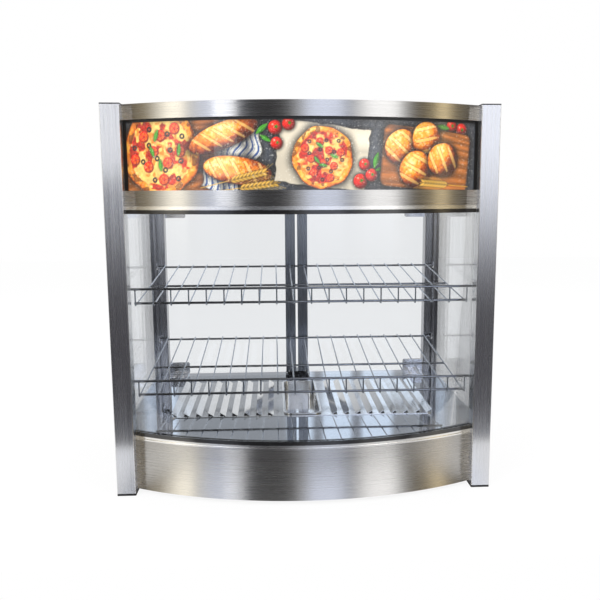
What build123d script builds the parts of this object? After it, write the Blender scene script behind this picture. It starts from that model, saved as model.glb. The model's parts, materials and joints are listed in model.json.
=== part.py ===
from build123d import *
import math
import os

# Countertop pizza warmer: four slotted corner posts, a bowed glass front, a heated base
# with a louvred cover and water pan, a lit header, two wire shelves and two rear glass doors.
# Millimetres. X runs across the front, +Y points to the rear doors, Z is up, and the origin
# is the middle of the footprint on the table.

# Overall sizes
width = 678.0
depth = 568.0
height = 686.0
bow_reach = 60.8
bow_set_back = 18.5

# Corner posts, caps and feet
post = 33.5
post_wall = 2.2
post_corner = 1.5
cap_height = 2.0
foot_height = 4.0
plug_depth = 8.0
slot_mouth = 6.5
slot_lip = 2.0
slot_width = 10.0
slot_depth = 4.5
groove_width = 5.0
groove_depth = 8.0
groove_wall = 3.0

# Sheet metal and clearances
sheet = 1.2
flange = 12.0
return_edge = 14.0
screw_edge = 7.0
face_gap = 0.2
seat_gap = 0.3
running_gap = 0.05
join = 0.1
vent_height = 4.0
vent_pitch = 10.0
vent_rows = 3

# Base levels
base_gap = 7.0
fascia_height = 92.5
rail_height = 7.4
rail_bead = 2.6
rail_depth = 12.0
rail_ledge = 8.0
bead_stand = 1.6
seal_height = 6.9
floor_rise = 3.7
floor_sheet = 1.5
skin_step = 1.0
glass = 4.0
front_glass_set_back = 4.0
floor_vent_length = 60.0
floor_vent_width = 5.0
floor_vent_x = 200.0
floor_vent_y = -40.0
floor_vent_pitch = 20.0
glass_bite = 5.0

# Header levels
header_height = 170.5
top_rail_height = 6.3
lower_band_height = 26.2
top_band_height = 25.9
roof_drop = 0.8
band_lip = 2.6
picture_sheet = 3.0
picture_set_back = 4.0
gasket_height = 4.4
gasket_end = 6.0
gasket_thickness = 1.4
diffuser_sheet = 1.0
picture_top_gap = 1.0
header_vent_length = 90.0
header_vent_drop = 60.0
header_vent_x = 150.0

# Rear doors
door_inset = 5.5
door_gap = 5.2
door_side_gap = 2.3
door_lift = 2.4
stile_width = 23.3
stile_thickness = 14.0
stile_bite = 15.0
clamp_width = 46.5
clamp_height = 27.0
clamp_thickness = 10.0
clamp_end = 3.0
clamp_corner = 4.0
clamp_screw_inset = 34.0
clamp_screw_share = 0.55
pane_inset = 2.0
notch_reach = 9.0
notch_height = 12.0
pivot_inset = 11.2
pivot_radius = 2.5
pivot_length = 8.0
hinge_plate = 2.0
hinge_plate_width = 42.5
hinge_plate_length = 48.0
hinge_plate_corner = 3.0
hinge_plate_beyond_pin = 9.0
hinge_plate_behind_pin = 6.0
hinge_screw_from_pin = 2.0
hinge_screw_across = 20.0
hinge_screw_along = 14.0
handle_length = 110.0
handle_reach = 20.0
handle_radius = 4.0
catch_width = 40.0
catch_ear = 8.0
catch_length = 44.0
catch_height = 15.4
catch_ear_height = 6.0
catch_corner = 3.0
catch_ear_inset = 3.0
catch_neck_inset = 8.0

# Wire shelves
shelf_rear_gap = 10.0
shelf_front_gap = 30.0
upper_shelf_z = 370.0
lower_shelf_z = 199.5
shelf_slope = 4.28
shelf_lip = 26.1
rod_radius = 2.25
wire_radius = 1.35
wire_pitch = 32.0
wire_margin = 1.4
wire_tail = 4.0
weld_gap = 0.02
middle_rod_share = 0.537
clip_thickness = 3.0
clip_above = 9.0
clip_below = 13.0
clip_tip = 4.5

# Louvred plate and water pan
plate_side_gap = 48.5
plate_front_gap = 109.0
plate_rear_gap = 85.7
plate_sheet = 1.0
plate_corner = 14.0
louvre_edge = 3.0
louvre_pitch = 23.25
louvre_first = 62.0
louvre_width = 11.0
louvre_height = 7.0
louvre_margin = 6.0
louvre_sheet = 0.9
hatch_margin = 5.0
pan_width = 75.0
pan_end_margin = 5.0
pan_depth = 32.0
pan_corner = 16.0
pan_wall = 0.8
pan_rim = 3.0
pan_taper = 4.0

# Heating elements
element_radius = 4.0
element_inner_x = 100.0
element_outer_x = 200.0
element_height = 52.0
element_front = 30.0
element_rear = 30.0
bracket_sheet = 2.0
bracket_margin = 10.0
bracket_foot = 14.0
bracket_places = (0.25, 0.75)

# Rear controls
control_z = 61.0
knob_x = -150.0
knob_radius = 18.0
knob_depth = 14.0
shaft_radius = 3.0
shaft_seat = 11.5
shaft_set_back = 3.0
knob_edge = 2.0
flute_count = 12
flute_radius = 3.0
pointer_width = 1.6
pointer_start = 5.0
thermostat_width = 36.0
thermostat_depth = 30.0
bulb_radius = 4.0
bulb_length = 90.0
capillary_radius = 1.2
capillary_reach = 30.0
capillary_rise = 36.0
bulb_gap = 14.0
bulb_grip = 10.0
bulb_grip_wall = 2.0
pilot_x = -95.0
pilot_radius = 6.0
pilot_length = 14.0
pilot_rim = 2.0
pilot_dome = 4.0
power_switch_x = -50.0
lamp_switch_x = 0.0
switch_width = 21.0
switch_height = 30.0
switch_bezel = 2.0
switch_depth = 20.0
switch_wall = 2.0
switch_inset = 2.0
switch_corner = 1.5
rocker_rise = 3.2
rocker_dish = 1.8
rocker_pin_reach = 1.2
rocker_tilt = 10.0
rocker_depth = 7.0
rocker_pin = 1.5
inlet_inset = 115.5
inlet_width = 28.0
inlet_height = 21.0
inlet_depth = 20.0
inlet_flange = 11.0
inlet_rim = 2.0
inlet_face = 3.0
socket_width = 24.0
socket_height = 16.0
socket_corner = 4.0
pin_set_back = 6.5
pin_width = 2.0
pin_height = 4.0
pin_pitch = 7.0
pin_step = 2.0
control_vent_length = 34.0
control_vent_x = 60.0
control_vent_step = 50.0
control_vent_outer = 70.0
block_from_inlet = 80.0
block_from_panel = 70.0
terminal_count = 4
terminal_radius = 3.0
terminal_floor = 5.0
block_width = 44.0
block_depth = 20.0
block_height = 16.0
lead_radius = 1.6
lead_rise = 6.0
lead_start = 14.0
lead_pass = 18.0
lead_step = 12.0
lead_bend = 6.0

# Header lamp
lamp_radius = 8.0
lamp_end_gap = 45.5
lamp_pin = 3.5
lamp_pin_share = 0.6
lamp_end_round = 2.0
lamp_y = -140.0
lamp_rise = 46.0
holder_width = 14.0
holder_half = 12.0
holder_above = 3.0
holder_foot = 2.0
holder_foot_reach = 20.0
window_end_gap = 20.0
window_half_depth = 22.0
window_margin = 8.0

# Screws
screw_radius = 1.9
screw_head = 3.6
screw_head_height = 1.8
screw_length = 6.0
screw_inset = 24.0
recess_width = 0.9
recess_depth = 0.7

# Derived places
half_width = width / 2
half_depth = depth / 2
clear_half = half_width - post
front_post_y = -half_depth + bow_reach
front_slot_y = front_post_y + post
rear_slot_y = half_depth - post
bow_sag = bow_reach + bow_set_back
bow_radius = (clear_half ** 2 + bow_sag ** 2) / (2 * bow_sag)
bow_centre_y = -half_depth + bow_radius
post_top = height - cap_height
groove_outer = half_width - groove_wall
side_outer = groove_outer - (groove_width - glass) / 2
side_inner = side_outer - glass
slot_x = half_width - post / 2

fascia_top = base_gap + fascia_height
rail_top = fascia_top + rail_height
lower_seal_top = rail_top + seal_height
floor_top = rail_top + floor_rise
floor_bottom = floor_top - floor_sheet
header_bottom = height - header_height
upper_rail_bottom = header_bottom - top_rail_height
upper_seal_bottom = upper_rail_bottom - seal_height
ceiling_bottom = upper_rail_bottom + rail_bead + 0.4
ceiling_top = ceiling_bottom + sheet
roof_top = height - roof_drop
roof_bottom = roof_top - sheet
lower_band_top = header_bottom + lower_band_height
top_band_bottom = roof_top - top_band_height

rear_panel_y = half_depth - post / 2
bottom_plate_z = base_gap + sheet
bottom_plate_top = bottom_plate_z + sheet
door_y = rear_slot_y + door_inset
door_bottom = floor_top + door_lift
door_top = ceiling_bottom - door_lift
door_outer = clear_half - door_side_gap
pivot_x = door_outer - pivot_inset

plate_half_width = clear_half - plate_side_gap
plate_front = front_post_y + plate_front_gap
plate_rear = rear_slot_y - plate_rear_gap
plate_length = plate_rear - plate_front
pan_length = plate_length - 2 * pan_end_margin
louvre_room = plate_half_width - louvre_edge - louvre_width / 2 - louvre_first
louvre_count = int(louvre_room / louvre_pitch) + 1
plate_top = floor_top + plate_sheet
pan_y = (plate_front + plate_rear) / 2
element_z = bottom_plate_top + element_height
lamp_half_length = clear_half - lamp_end_gap
window_half_width = lamp_half_length - window_end_gap
rear_face = rear_panel_y + sheet
inlet_x = clear_half - inlet_inset
block_x = inlet_x - block_from_inlet


def block(x0, x1, y0, y1, z0, z1):
    """Box between two corners."""
    return Pos((x0 + x1) / 2, (y0 + y1) / 2, (z0 + z1) / 2) * Box(x1 - x0, y1 - y0, z1 - z0)


def rod(x, y, z, radius, length, direction):
    """Round bar that starts at a point and runs along X, Y or Z."""
    turn = {"x": Rot(0, 90, 0), "y": Rot(-90, 0, 0), "z": Rot(0, 0, 0)}[direction]
    return Pos(x, y, z) * turn * Cylinder(radius, length, align=(Align.CENTER, Align.CENTER, Align.MIN))


def bow(outer, inner, z0, z1, half=clear_half):
    """Upright strip of the front's arc, between two radii, cut off square to the posts."""
    ring = Circle(outer) - Circle(inner)
    strip = extrude(Plane.XY.offset(z0) * Pos(0, bow_centre_y) * ring, amount=z1 - z0)
    return strip & block(-half, half, -half_depth - 1, bow_centre_y, z0, z1)


def deck(front_radius, z0, z1, side_x, rear_y):
    """Level sheet behind the arc that passes between the posts and reaches the side panels."""
    disc = extrude(Plane.XY.offset(z0) * Pos(0, bow_centre_y) * Circle(front_radius), amount=z1 - z0)
    middle = disc & block(-clear_half + face_gap, clear_half - face_gap, -half_depth, 0, z0, z1)
    middle += block(-clear_half + face_gap, clear_half - face_gap, -face_gap, rear_y, z0, z1)
    wings = block(-side_x, side_x, front_slot_y + face_gap, rear_slot_y - face_gap, z0, z1)
    return middle + wings


def rounded_slab(x_size, y_size, corner, x, y, z0, z1, taper=0.0):
    """Flat slab with rounded corners, drawn downwards when it tapers."""
    outline = Pos(x, y) * RectangleRounded(x_size, y_size, corner)
    if taper:
        return extrude(Plane.XY.offset(z1) * outline, amount=-(z1 - z0), dir=(0, 0, 1), taper=taper)
    return extrude(Plane.XY.offset(z0) * outline, amount=z1 - z0)


def at_corner(shape, side, end):
    """Move a shape from a post's own corner to the left or right, front or rear post."""
    if side < 0:
        shape = mirror(shape, Plane.YZ)
    if end < 0:
        shape = mirror(shape, Plane.XZ)
    return Pos(side * clear_half, front_slot_y if end < 0 else rear_slot_y, 0) * shape


def part(shape):
    """The single solid of a shape."""
    solids = shape.solids()
    if len(solids) != 1:
        raise ValueError(f"expected one solid, got {len(solids)}")
    return solids[0]


def group(shapes):
    """Separate solids kept side by side in one sub-part."""
    return Compound(children=[part(shape) for shape in shapes])


def tube(points, radii, radius):
    """Round tube along straight runs joined by arcs."""
    path = FilletPolyline(*points, radius=radii)
    start = path.position_at(0)
    section = Plane(origin=start, z_dir=path.tangent_at(0)) * Circle(radius)
    return sweep(section, path=path)


def screw(x, y, z, direction):
    """Pan-head screw; its head's underside is at the point and it drives along direction."""
    turn = {"-y": Rot(90, 0, 0), "+y": Rot(-90, 0, 0), "-z": Rot(180, 0, 0), "+z": Rot(0, 0, 0)}[direction]
    shank = Cylinder(screw_radius, screw_length, align=(Align.CENTER, Align.CENTER, Align.MIN))
    head = Cylinder(screw_head, screw_head_height, align=(Align.CENTER, Align.CENTER, Align.MAX))
    head = fillet(head.edges().sort_by(Axis.Z)[0], screw_head_height * 0.5)
    cross = Box(screw_head, recess_width, 2 * recess_depth) + Box(recess_width, screw_head, 2 * recess_depth)
    recess = Pos(0, 0, -screw_head_height) * cross
    return Pos(x, y, z) * turn * (shank + head - recess)


def shanks(screws):
    """The bars that the screws' holes are cut with."""
    cutters = Part()
    for x, y, z, direction in screws:
        offset = {"-y": (0, -screw_length, 0), "+y": (0, 0, 0), "-z": (0, 0, -screw_length), "+z": (0, 0, 0)}
        dx, dy, dz = offset[direction]
        cutters += rod(x + dx, y + dy, z + dz, screw_radius, screw_length, direction[1])
    return cutters


nodes = {}


def post_section():
    """Cross-section of a post in its own corner: slotted face along X, inner face along Y."""
    outline = Pos(post / 2, post / 2) * RectangleRounded(post, post, post_corner)
    mouth = Pos(post / 2, slot_lip / 2) * Rectangle(slot_mouth, slot_lip + 0.02)
    slot = Pos(post / 2, slot_lip + slot_depth / 2) * Rectangle(slot_width, slot_depth)
    groove = Pos(post - groove_wall - groove_width / 2, groove_depth / 2)
    groove = groove * Rectangle(groove_width, groove_depth + 0.02)
    core_near = slot_lip + slot_depth + post_wall + 1.0
    core_near = max(core_near, groove_depth + post_wall)
    core_depth = post - post_wall - core_near
    core = Pos(post / 2, core_near + core_depth / 2) * Rectangle(post - 2 * post_wall, core_depth)
    return outline - mouth - slot - groove - core, (core_near, core_depth)


section, (core_near, core_depth) = post_section()


def post_end(z, thickness, plug_from):
    """Cap or foot: a plate over the post's end with a plug in its hollow core."""
    plate = extrude(Plane.XY.offset(z) * Pos(post / 2, post / 2)
                    * RectangleRounded(post, post, post_corner), amount=thickness)
    plug = Pos(post / 2, core_near + core_depth / 2, plug_from + plug_depth / 2)
    return plate + plug * Box(post - 2 * post_wall - 2 * face_gap, core_depth - 2 * face_gap, plug_depth)


def make_posts():
    """Four posts with their caps and feet."""
    length = post_top - foot_height
    bar = extrude(Plane.XY.offset(foot_height) * section, amount=length)
    cap = post_end(post_top, cap_height, post_top - plug_depth)
    foot = post_end(0, foot_height, foot_height)
    corners = {"front_left": (-1, -1), "front_right": (1, -1), "rear_left": (-1, 1), "rear_right": (1, 1)}
    for name, (side, end) in corners.items():
        nodes[f"{name}_post"] = part(at_corner(bar, side, end))
    nodes["post_caps"] = group(at_corner(cap, *corner) for corner in corners.values())
    nodes["feet"] = group(at_corner(foot, *corner) for corner in corners.values())


def side_panel(z0, z1, flange_levels):
    """Right-hand side sheet in the posts' grooves, with inward flanges between the posts."""
    reach = groove_depth - 1
    skin = block(side_outer - sheet, side_outer, front_slot_y - reach, rear_slot_y + reach,
                 z0, min(z1, post_top))
    skin += block(side_outer - sheet, side_outer, front_slot_y + face_gap, rear_slot_y - face_gap, z0, z1)
    for level in flange_levels:
        skin += block(side_outer - flange, side_outer, front_slot_y + face_gap, rear_slot_y - face_gap,
                      level, level + sheet)
    return skin


def make_side_panels():
    """Base and header side sheets in the posts' grooves on both sides."""
    base = side_panel(base_gap, floor_bottom, [base_gap, floor_bottom - sheet])
    header = side_panel(ceiling_bottom - sheet, roof_top, [ceiling_bottom - sheet, roof_bottom - sheet])
    nodes["side_panels"] = group([base, header, mirror(base, Plane.YZ), mirror(header, Plane.YZ)])


def rear_screws(low, high):
    """Screws along the lower and upper edges of a rear panel."""
    return [(x, rear_face, z, "-y")
            for x in (-clear_half + screw_inset, 0, clear_half - screw_inset)
            for z in (low + screw_edge, high - screw_edge)]


base_screws = rear_screws(bottom_plate_top, floor_bottom)
header_screws = rear_screws(ceiling_top, roof_bottom)


def rear_flange(z0, z1):
    """Turned edge of a deck, just inside a rear panel."""
    return block(-clear_half + face_gap, clear_half - face_gap, rear_panel_y - face_gap - sheet,
                 rear_panel_y - face_gap, z0, z1)


def make_base():
    """Curved fascia, side and rear panels, bottom plate and polished floor."""
    inner = bow_radius - sheet - flange
    fascia = bow(bow_radius, inner, base_gap, fascia_top)
    fascia -= bow(bow_radius - sheet, inner - 1, base_gap + sheet, fascia_top - sheet, half_width)
    nodes["base_fascia"] = part(fascia)

    edge = side_outer - sheet - face_gap
    bottom = deck(bow_radius - sheet - face_gap, bottom_plate_z, bottom_plate_top, edge,
                  rear_panel_y - face_gap)
    bottom += rear_flange(bottom_plate_z, bottom_plate_top + return_edge)
    slit = extrude(SlotOverall(floor_vent_length, floor_vent_width), amount=flange, both=True)
    for x in (-floor_vent_x, floor_vent_x):
        for step in range(vent_rows):
            y = floor_vent_y + (step - 1) * floor_vent_pitch
            bottom -= Pos(x, y, bottom_plate_z) * slit
    nodes["bottom_plate"] = part(bottom - shanks(base_screws))

    floor = deck(bow_radius - rail_depth - 2 * face_gap, floor_bottom, floor_top, side_inner - face_gap,
                 rear_panel_y - face_gap)
    floor += rear_flange(floor_bottom - return_edge, floor_bottom)
    hatch = rounded_slab(2 * (plate_half_width - hatch_margin), plate_length - 2 * hatch_margin,
                         plate_corner, 0, pan_y, floor_bottom - 1, floor_top + 1)
    floor -= hatch
    floor -= shanks(base_screws) + shanks(floor_screws())
    nodes["floor_plate"] = part(floor)


def make_front_glazing():
    """Bowed glass with a black seal and a bright rail along its lower and upper edges."""
    body = bow_radius - bead_stand
    inner = bow_radius - rail_depth
    rail = bow(body, inner, fascia_top, rail_top)
    rail += bow(bow_radius, body - 1, fascia_top, fascia_top + rail_bead)
    rail += bow(bow_radius, body - 1, rail_top - rail_bead, rail_top)
    rail += bow(inner + 0.5, inner - rail_ledge, fascia_top, rail_top)
    rail += bow(inner - face_gap, inner - rail_ledge, rail_top - 1, floor_bottom)
    nodes["lower_glass_rail"] = part(rail)

    rail = bow(body, inner - face_gap, upper_rail_bottom, header_bottom)
    rail += bow(bow_radius, body - 1, upper_rail_bottom, upper_rail_bottom + rail_bead)
    rail += bow(inner, inner - rail_ledge, upper_rail_bottom, ceiling_bottom)
    nodes["upper_glass_rail"] = part(rail)

    outer = bow_radius - front_glass_set_back
    pane = bow(outer, outer - glass, lower_seal_top - glass_bite, upper_seal_bottom + glass_bite,
               clear_half - face_gap)
    nodes["front_glass"] = part(pane)
    slot = bow(outer, outer - glass, lower_seal_top - glass_bite, upper_seal_bottom + glass_bite,
               half_width)
    skin = bow_radius - skin_step
    nodes["lower_glass_seal"] = part(bow(skin, inner, rail_top, lower_seal_top) - slot)
    nodes["upper_glass_seal"] = part(bow(skin, inner, upper_seal_bottom, upper_rail_bottom) - slot)


def make_side_glass():
    """Flat side panes in the posts' grooves."""
    reach = groove_depth - 1
    pane = block(side_inner, side_outer, front_slot_y - reach, rear_slot_y + reach,
                 floor_bottom + face_gap, ceiling_bottom - sheet - face_gap)
    nodes["side_glasses"] = group([pane, mirror(pane, Plane.YZ)])


def rear_vent(x, z, length):
    """Slot through a rear panel, lying level."""
    return Pos(x, rear_panel_y, z) * Rot(90, 0, 0) * extrude(SlotOverall(length, vent_height), amount=flange,
                                                            both=True)


def make_header():
    """Light box: bands, picture panel, diffuser, roof, ceiling, side and rear panels."""
    inner = bow_radius - sheet
    lower = bow(bow_radius, inner, header_bottom, lower_band_top)
    lower += bow(inner + join, inner - flange, header_bottom, header_bottom + sheet)
    lower += bow(inner + join, inner - band_lip, lower_band_top - sheet, lower_band_top)
    nodes["header_lower_band"] = part(lower)

    top = bow(bow_radius, inner, top_band_bottom, roof_top)
    top += bow(inner + join, inner - band_lip, top_band_bottom, top_band_bottom + sheet)
    top += bow(inner + join, inner - flange, roof_bottom - sheet, roof_bottom)
    nodes["header_top_band"] = part(top)

    panel_bottom = header_bottom + sheet
    panel_top = roof_bottom - sheet - picture_top_gap
    outer = bow_radius - picture_set_back
    back = outer - picture_sheet
    nodes["picture_panel"] = part(bow(outer, back, panel_bottom, panel_top, clear_half - face_gap))
    nodes["picture_diffuser"] = part(bow(back - join, back - join - diffuser_sheet, panel_bottom,
                                         panel_top, clear_half - face_gap))
    front = outer + gasket_thickness
    frame = bow(front, outer + join, lower_band_top, top_band_bottom)
    opening = bow(front + 1, outer - 1, lower_band_top - 1, top_band_bottom - gasket_height,
                  clear_half - gasket_end)
    nodes["picture_gasket"] = part(frame - opening)

    roof = deck(inner - face_gap, roof_bottom, roof_top, side_outer - sheet - face_gap,
                rear_panel_y - face_gap)
    roof += rear_flange(roof_bottom - return_edge, roof_bottom)
    nodes["roof_panel"] = part(roof - shanks(header_screws))

    ceiling = deck(bow_radius - rail_depth - 2 * face_gap, ceiling_bottom, ceiling_top,
                   side_outer - sheet - face_gap, rear_panel_y - face_gap)
    ceiling += rear_flange(ceiling_bottom, ceiling_top + return_edge)
    ceiling -= block(-window_half_width, window_half_width, lamp_y - window_half_depth,
                     lamp_y + window_half_depth, ceiling_bottom - 1, ceiling_top + 1)
    ceiling -= shanks(ceiling_screws()) + shanks(header_screws)
    nodes["header_ceiling"] = part(ceiling)
    nodes["lamp_window"] = part(block(-window_half_width - window_margin, window_half_width + window_margin,
                                      lamp_y - window_half_depth - window_margin,
                                      lamp_y + window_half_depth + window_margin,
                                      ceiling_top, ceiling_top + glass))

    panel = block(-clear_half, clear_half, rear_panel_y, rear_panel_y + sheet, ceiling_bottom - 1, roof_top)
    for row in range(vent_rows):
        for x in (-header_vent_x, 0, header_vent_x):
            panel -= rear_vent(x, roof_bottom - header_vent_drop - vent_pitch * row, header_vent_length)
    nodes["header_rear_panel"] = part(panel - shanks(header_screws))


def make_lamp():
    """Tube lamp on two holders that stand on the header's ceiling."""
    z = ceiling_top + lamp_rise
    holders = []
    for side in (-1, 1):
        near = side * lamp_half_length
        far = side * (lamp_half_length + holder_width)
        body = block(min(near, far), max(near, far), lamp_y - holder_half, lamp_y + holder_half,
                     ceiling_top, z + lamp_radius + holder_above)
        foot = block(min(near, far), max(near, far), lamp_y - holder_half,
                     lamp_y + window_half_depth + holder_foot_reach, ceiling_top, ceiling_top + holder_foot)
        socket = rod(-lamp_half_length - lamp_pin - join, lamp_y, z, lamp_radius * lamp_pin_share,
                     2 * (lamp_half_length + lamp_pin + join), "x")
        holders.append(body + foot - socket)
    nodes["lamp_holders"] = group(holders)
    lamp = rod(-lamp_half_length + join, lamp_y, z, lamp_radius, 2 * (lamp_half_length - join), "x")
    lamp = fillet(lamp.edges(), lamp_end_round)
    lamp += rod(-lamp_half_length - lamp_pin, lamp_y, z, lamp_radius * lamp_pin_share - join,
                2 * (lamp_half_length + lamp_pin), "x")
    nodes["lamp_tube"] = part(lamp)


def hinge_screw_places(z, direction, y0):
    """Screws of the hinge plates on both sides, with their heads against level z."""
    return [(side * (pivot_x - offset), y, z, direction)
            for side in (-1, 1)
            for offset in (hinge_screw_from_pin, hinge_screw_from_pin + hinge_screw_across)
            for y in (y0, y0 + hinge_screw_along)]


def floor_screws():
    """Screws that hold the lower hinge plates and the catch to the floor."""
    hinge = hinge_screw_places(floor_top + hinge_plate, "-z", door_y - hinge_plate_length + hinge_screw_along)
    ear_x = catch_width / 2 + catch_ear / 2
    catch = [(side * ear_x, rear_slot_y - catch_length / 2, floor_top + catch_ear_height, "-z")
             for side in (-1, 1)]
    return hinge + catch


def ceiling_screws():
    """Screws that hold the upper hinge plates to the ceiling."""
    return hinge_screw_places(ceiling_bottom - hinge_plate, "+z", door_y - hinge_plate_length + hinge_screw_along)


def make_door_fittings():
    """Hinge plates with their pins on the floor and the ceiling, and the magnetic catch."""
    outer = pivot_x + hinge_plate_beyond_pin
    y0 = door_y - hinge_plate_length + hinge_plate_behind_pin
    plates = []
    for level, sign, screws in ((floor_top, 1, floor_screws()), (ceiling_bottom, -1, ceiling_screws())):
        z0, z1 = sorted((level, level + sign * hinge_plate))
        plate = rounded_slab(hinge_plate_width, hinge_plate_length, hinge_plate_corner,
                             outer - hinge_plate_width / 2, y0 + hinge_plate_length / 2, z0, z1)
        pin_z = level if sign > 0 else level - hinge_plate - pivot_length
        plate += rod(pivot_x, door_y, pin_z, pivot_radius, hinge_plate + pivot_length, "z")
        right = plate - shanks(screws)
        left = mirror(plate, Plane.YZ) - shanks(screws)
        plates += [right, left]
    nodes["hinge_plates"] = group(plates)

    front = rear_slot_y - catch_length
    rear = door_y - stile_thickness / 2 - seat_gap
    body = block(-catch_width / 2, catch_width / 2, front, rear, floor_top, floor_top + catch_height)
    body = fillet(body.edges().filter_by(Axis.Y).sort_by(Axis.Z)[-2:], catch_corner)
    ear_x = catch_width / 2 + catch_ear / 2
    for side in (-1, 1):
        ear = rounded_slab(catch_ear, rear - front - 2 * catch_ear_inset, catch_ear * 0.45, side * ear_x,
                           (front + rear) / 2, floor_top, floor_top + catch_ear_height)
        x0, x1 = sorted((side * (catch_width / 2 - join), side * ear_x))
        neck = block(x0, x1, front + catch_neck_inset, rear - catch_neck_inset, floor_top,
                     floor_top + catch_ear_height)
        body += ear + neck
    nodes["door_catch"] = part(body - shanks(floor_screws()))


def clamp_pair():
    """Right-hand corner clamps that grip the pane and turn on the hinge pins."""
    pane, notches = door_pane()
    slot = block(door_outer - clamp_width - join, door_outer - clamp_end + join, door_y - glass / 2 - join,
                 door_y + glass / 2 + join, door_bottom + pane_inset - join, door_top - pane_inset + join)
    clamps = []
    bore = pivot_length + 2 * join
    for z0, bore_z in ((door_bottom, door_bottom - join),
                       (door_top - clamp_height, door_top + join - bore)):
        body = block(door_outer - clamp_width, door_outer, door_y - clamp_thickness / 2,
                     door_y + clamp_thickness / 2, z0, z0 + clamp_height)
        body = fillet(body.edges().filter_by(Axis.Y).sort_by(Axis.X)[:2], clamp_corner)
        body -= slot - notches
        body -= rod(pivot_x, door_y, bore_z, pivot_radius + running_gap, bore, "z")
        clamps.append(body)
    return pane, clamps


def door_pane():
    """Right-hand pane, notched at both outer corners for the clamps' solid blocks."""
    pane = block(door_gap / 2 + pane_inset, door_outer - clamp_end, door_y - glass / 2, door_y + glass / 2,
                 door_bottom + pane_inset, door_top - pane_inset)
    notch_x = pivot_x - notch_reach
    low = block(notch_x, door_outer, door_y - glass, door_y + glass, door_bottom, door_bottom + notch_height)
    high = block(notch_x, door_outer, door_y - glass, door_y + glass, door_top - notch_height, door_top)
    return pane - low - high, low + high


def make_doors():
    """Two glass doors: pane, centre stile, gasket, pull handle, corner clamps and screws."""
    pane, clamps = clamp_pair()
    z0, z1 = door_bottom, door_top
    stile_out = door_gap / 2
    stile_in = stile_out + stile_width
    half = stile_thickness / 2
    stile = block(stile_out, stile_in, door_y - half, door_y + half, z0, z1)
    stile -= block(stile_out + sheet, stile_in + 1, door_y - half + sheet, door_y + half - sheet, z0 - 1, z1 + 1)
    gasket = block(stile_in - stile_bite, stile_in, door_y - half + sheet, door_y + half - sheet, z0, z1)
    gasket -= block(stile_out, stile_in + 1, door_y - glass / 2, door_y + glass / 2,
                    z0 + pane_inset, z1 - pane_inset)

    mid_z = (z0 + z1) / 2
    grip_y = door_y + half + handle_reach - handle_radius
    handle_x = stile_out + stile_width / 2
    ends = handle_length / 2 - handle_radius
    reach = grip_y - door_y - half
    handle = tube([(handle_x, door_y + half, mid_z - ends), (handle_x, grip_y, mid_z - ends),
                   (handle_x, grip_y, mid_z + ends), (handle_x, door_y + half, mid_z + ends)],
                  reach * 0.6, handle_radius)

    clamp_face = door_y - clamp_thickness / 2
    places = [(door_outer - clamp_screw_inset, clamp_face, z, "+y")
              for z in (z0 + clamp_height * clamp_screw_share, z1 - clamp_height * clamp_screw_share)]
    pane -= shanks(places)
    clamps = [clamp - shanks(places) for clamp in clamps]
    screws = [screw(*place) for place in places]

    for side, name in ((1, "right"), (-1, "left")):
        def placed(shape):
            return shape if side > 0 else mirror(shape, Plane.YZ)
        nodes[f"{name}_door_glass"] = part(placed(pane))
        nodes[f"{name}_door_stile"] = part(placed(stile))
        nodes[f"{name}_door_gasket"] = part(placed(gasket))
        nodes[f"{name}_door_handle"] = part(placed(handle))
        nodes[f"{name}_door_clamps"] = group(placed(shape) for shape in clamps + screws)


def shelf_side(back_z):
    """A shelf seen from its end, as (y, z) points: rod centres, wire line and wire slope."""
    lift = rod_radius + wire_radius + weld_gap
    back_y = rear_slot_y - shelf_rear_gap
    front_y = front_slot_y + shelf_front_gap + lift
    run = back_y - front_y
    drop = run * math.tan(math.radians(shelf_slope))
    slope = math.atan2(drop, run) + math.asin(2 * lift / math.hypot(run, drop))
    up = (-math.sin(slope) * lift, math.cos(slope) * lift)
    back, front = (back_y, back_z), (front_y, back_z - drop)
    over_back = (back[0] + up[0], back[1] + up[1])
    under_front = (front[0] - up[0], front[1] - up[1])
    middle = tuple(over_back[k] + (under_front[k] - over_back[k]) * middle_rod_share - up[k] for k in (0, 1))
    top = (front_y - lift, front[1] + shelf_lip)
    return {"back": back, "middle": middle, "front": front, "top": top, "lift": lift, "slope": slope,
            "over_back": over_back, "under_front": under_front}


def make_shelf(name, back_z):
    """Wire shelf: cross rods, and wires that pass over them and turn up round the front rod."""
    side = shelf_side(back_z)
    wire_half = clear_half - wire_margin
    count = int(2 * wire_half / wire_pitch) + 1
    first = -(count - 1) * wire_pitch / 2
    long_half = slot_x + clip_thickness / 2
    short_half = -first + rod_radius
    halves = {"back": long_half, "middle": short_half, "front": short_half, "top": long_half}
    nodes[f"{name}_shelf_rods"] = group(rod(-half, *side[place], rod_radius, 2 * half, "x")
                                        for place, half in halves.items())

    lift, slope, front, top = side["lift"], side["slope"], side["front"], side["top"]
    tail = (side["over_back"][0] + wire_tail * math.cos(slope), side["over_back"][1] + wire_tail * math.sin(slope))
    under = side["under_front"]
    half_turn = math.radians(225) + slope / 2
    bend = (front[0] + lift * math.cos(half_turn), front[1] + lift * math.sin(half_turn))
    riser = (front[0] - lift, front[1])
    end = (front[0] - lift, top[1] - rod_radius)

    def wire(x):
        path = Line((x, *tail), (x, *under))
        path += ThreePointArc((x, *under), (x, *bend), (x, *riser))
        path += Line((x, *riser), (x, *end))
        heading = Vector(0, under[0] - tail[0], under[1] - tail[1])
        return sweep(Plane(origin=(x, *tail), z_dir=heading) * Circle(wire_radius), path=path)

    nodes[f"{name}_shelf_wires"] = group(wire(first + k * wire_pitch) for k in range(count))


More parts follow.
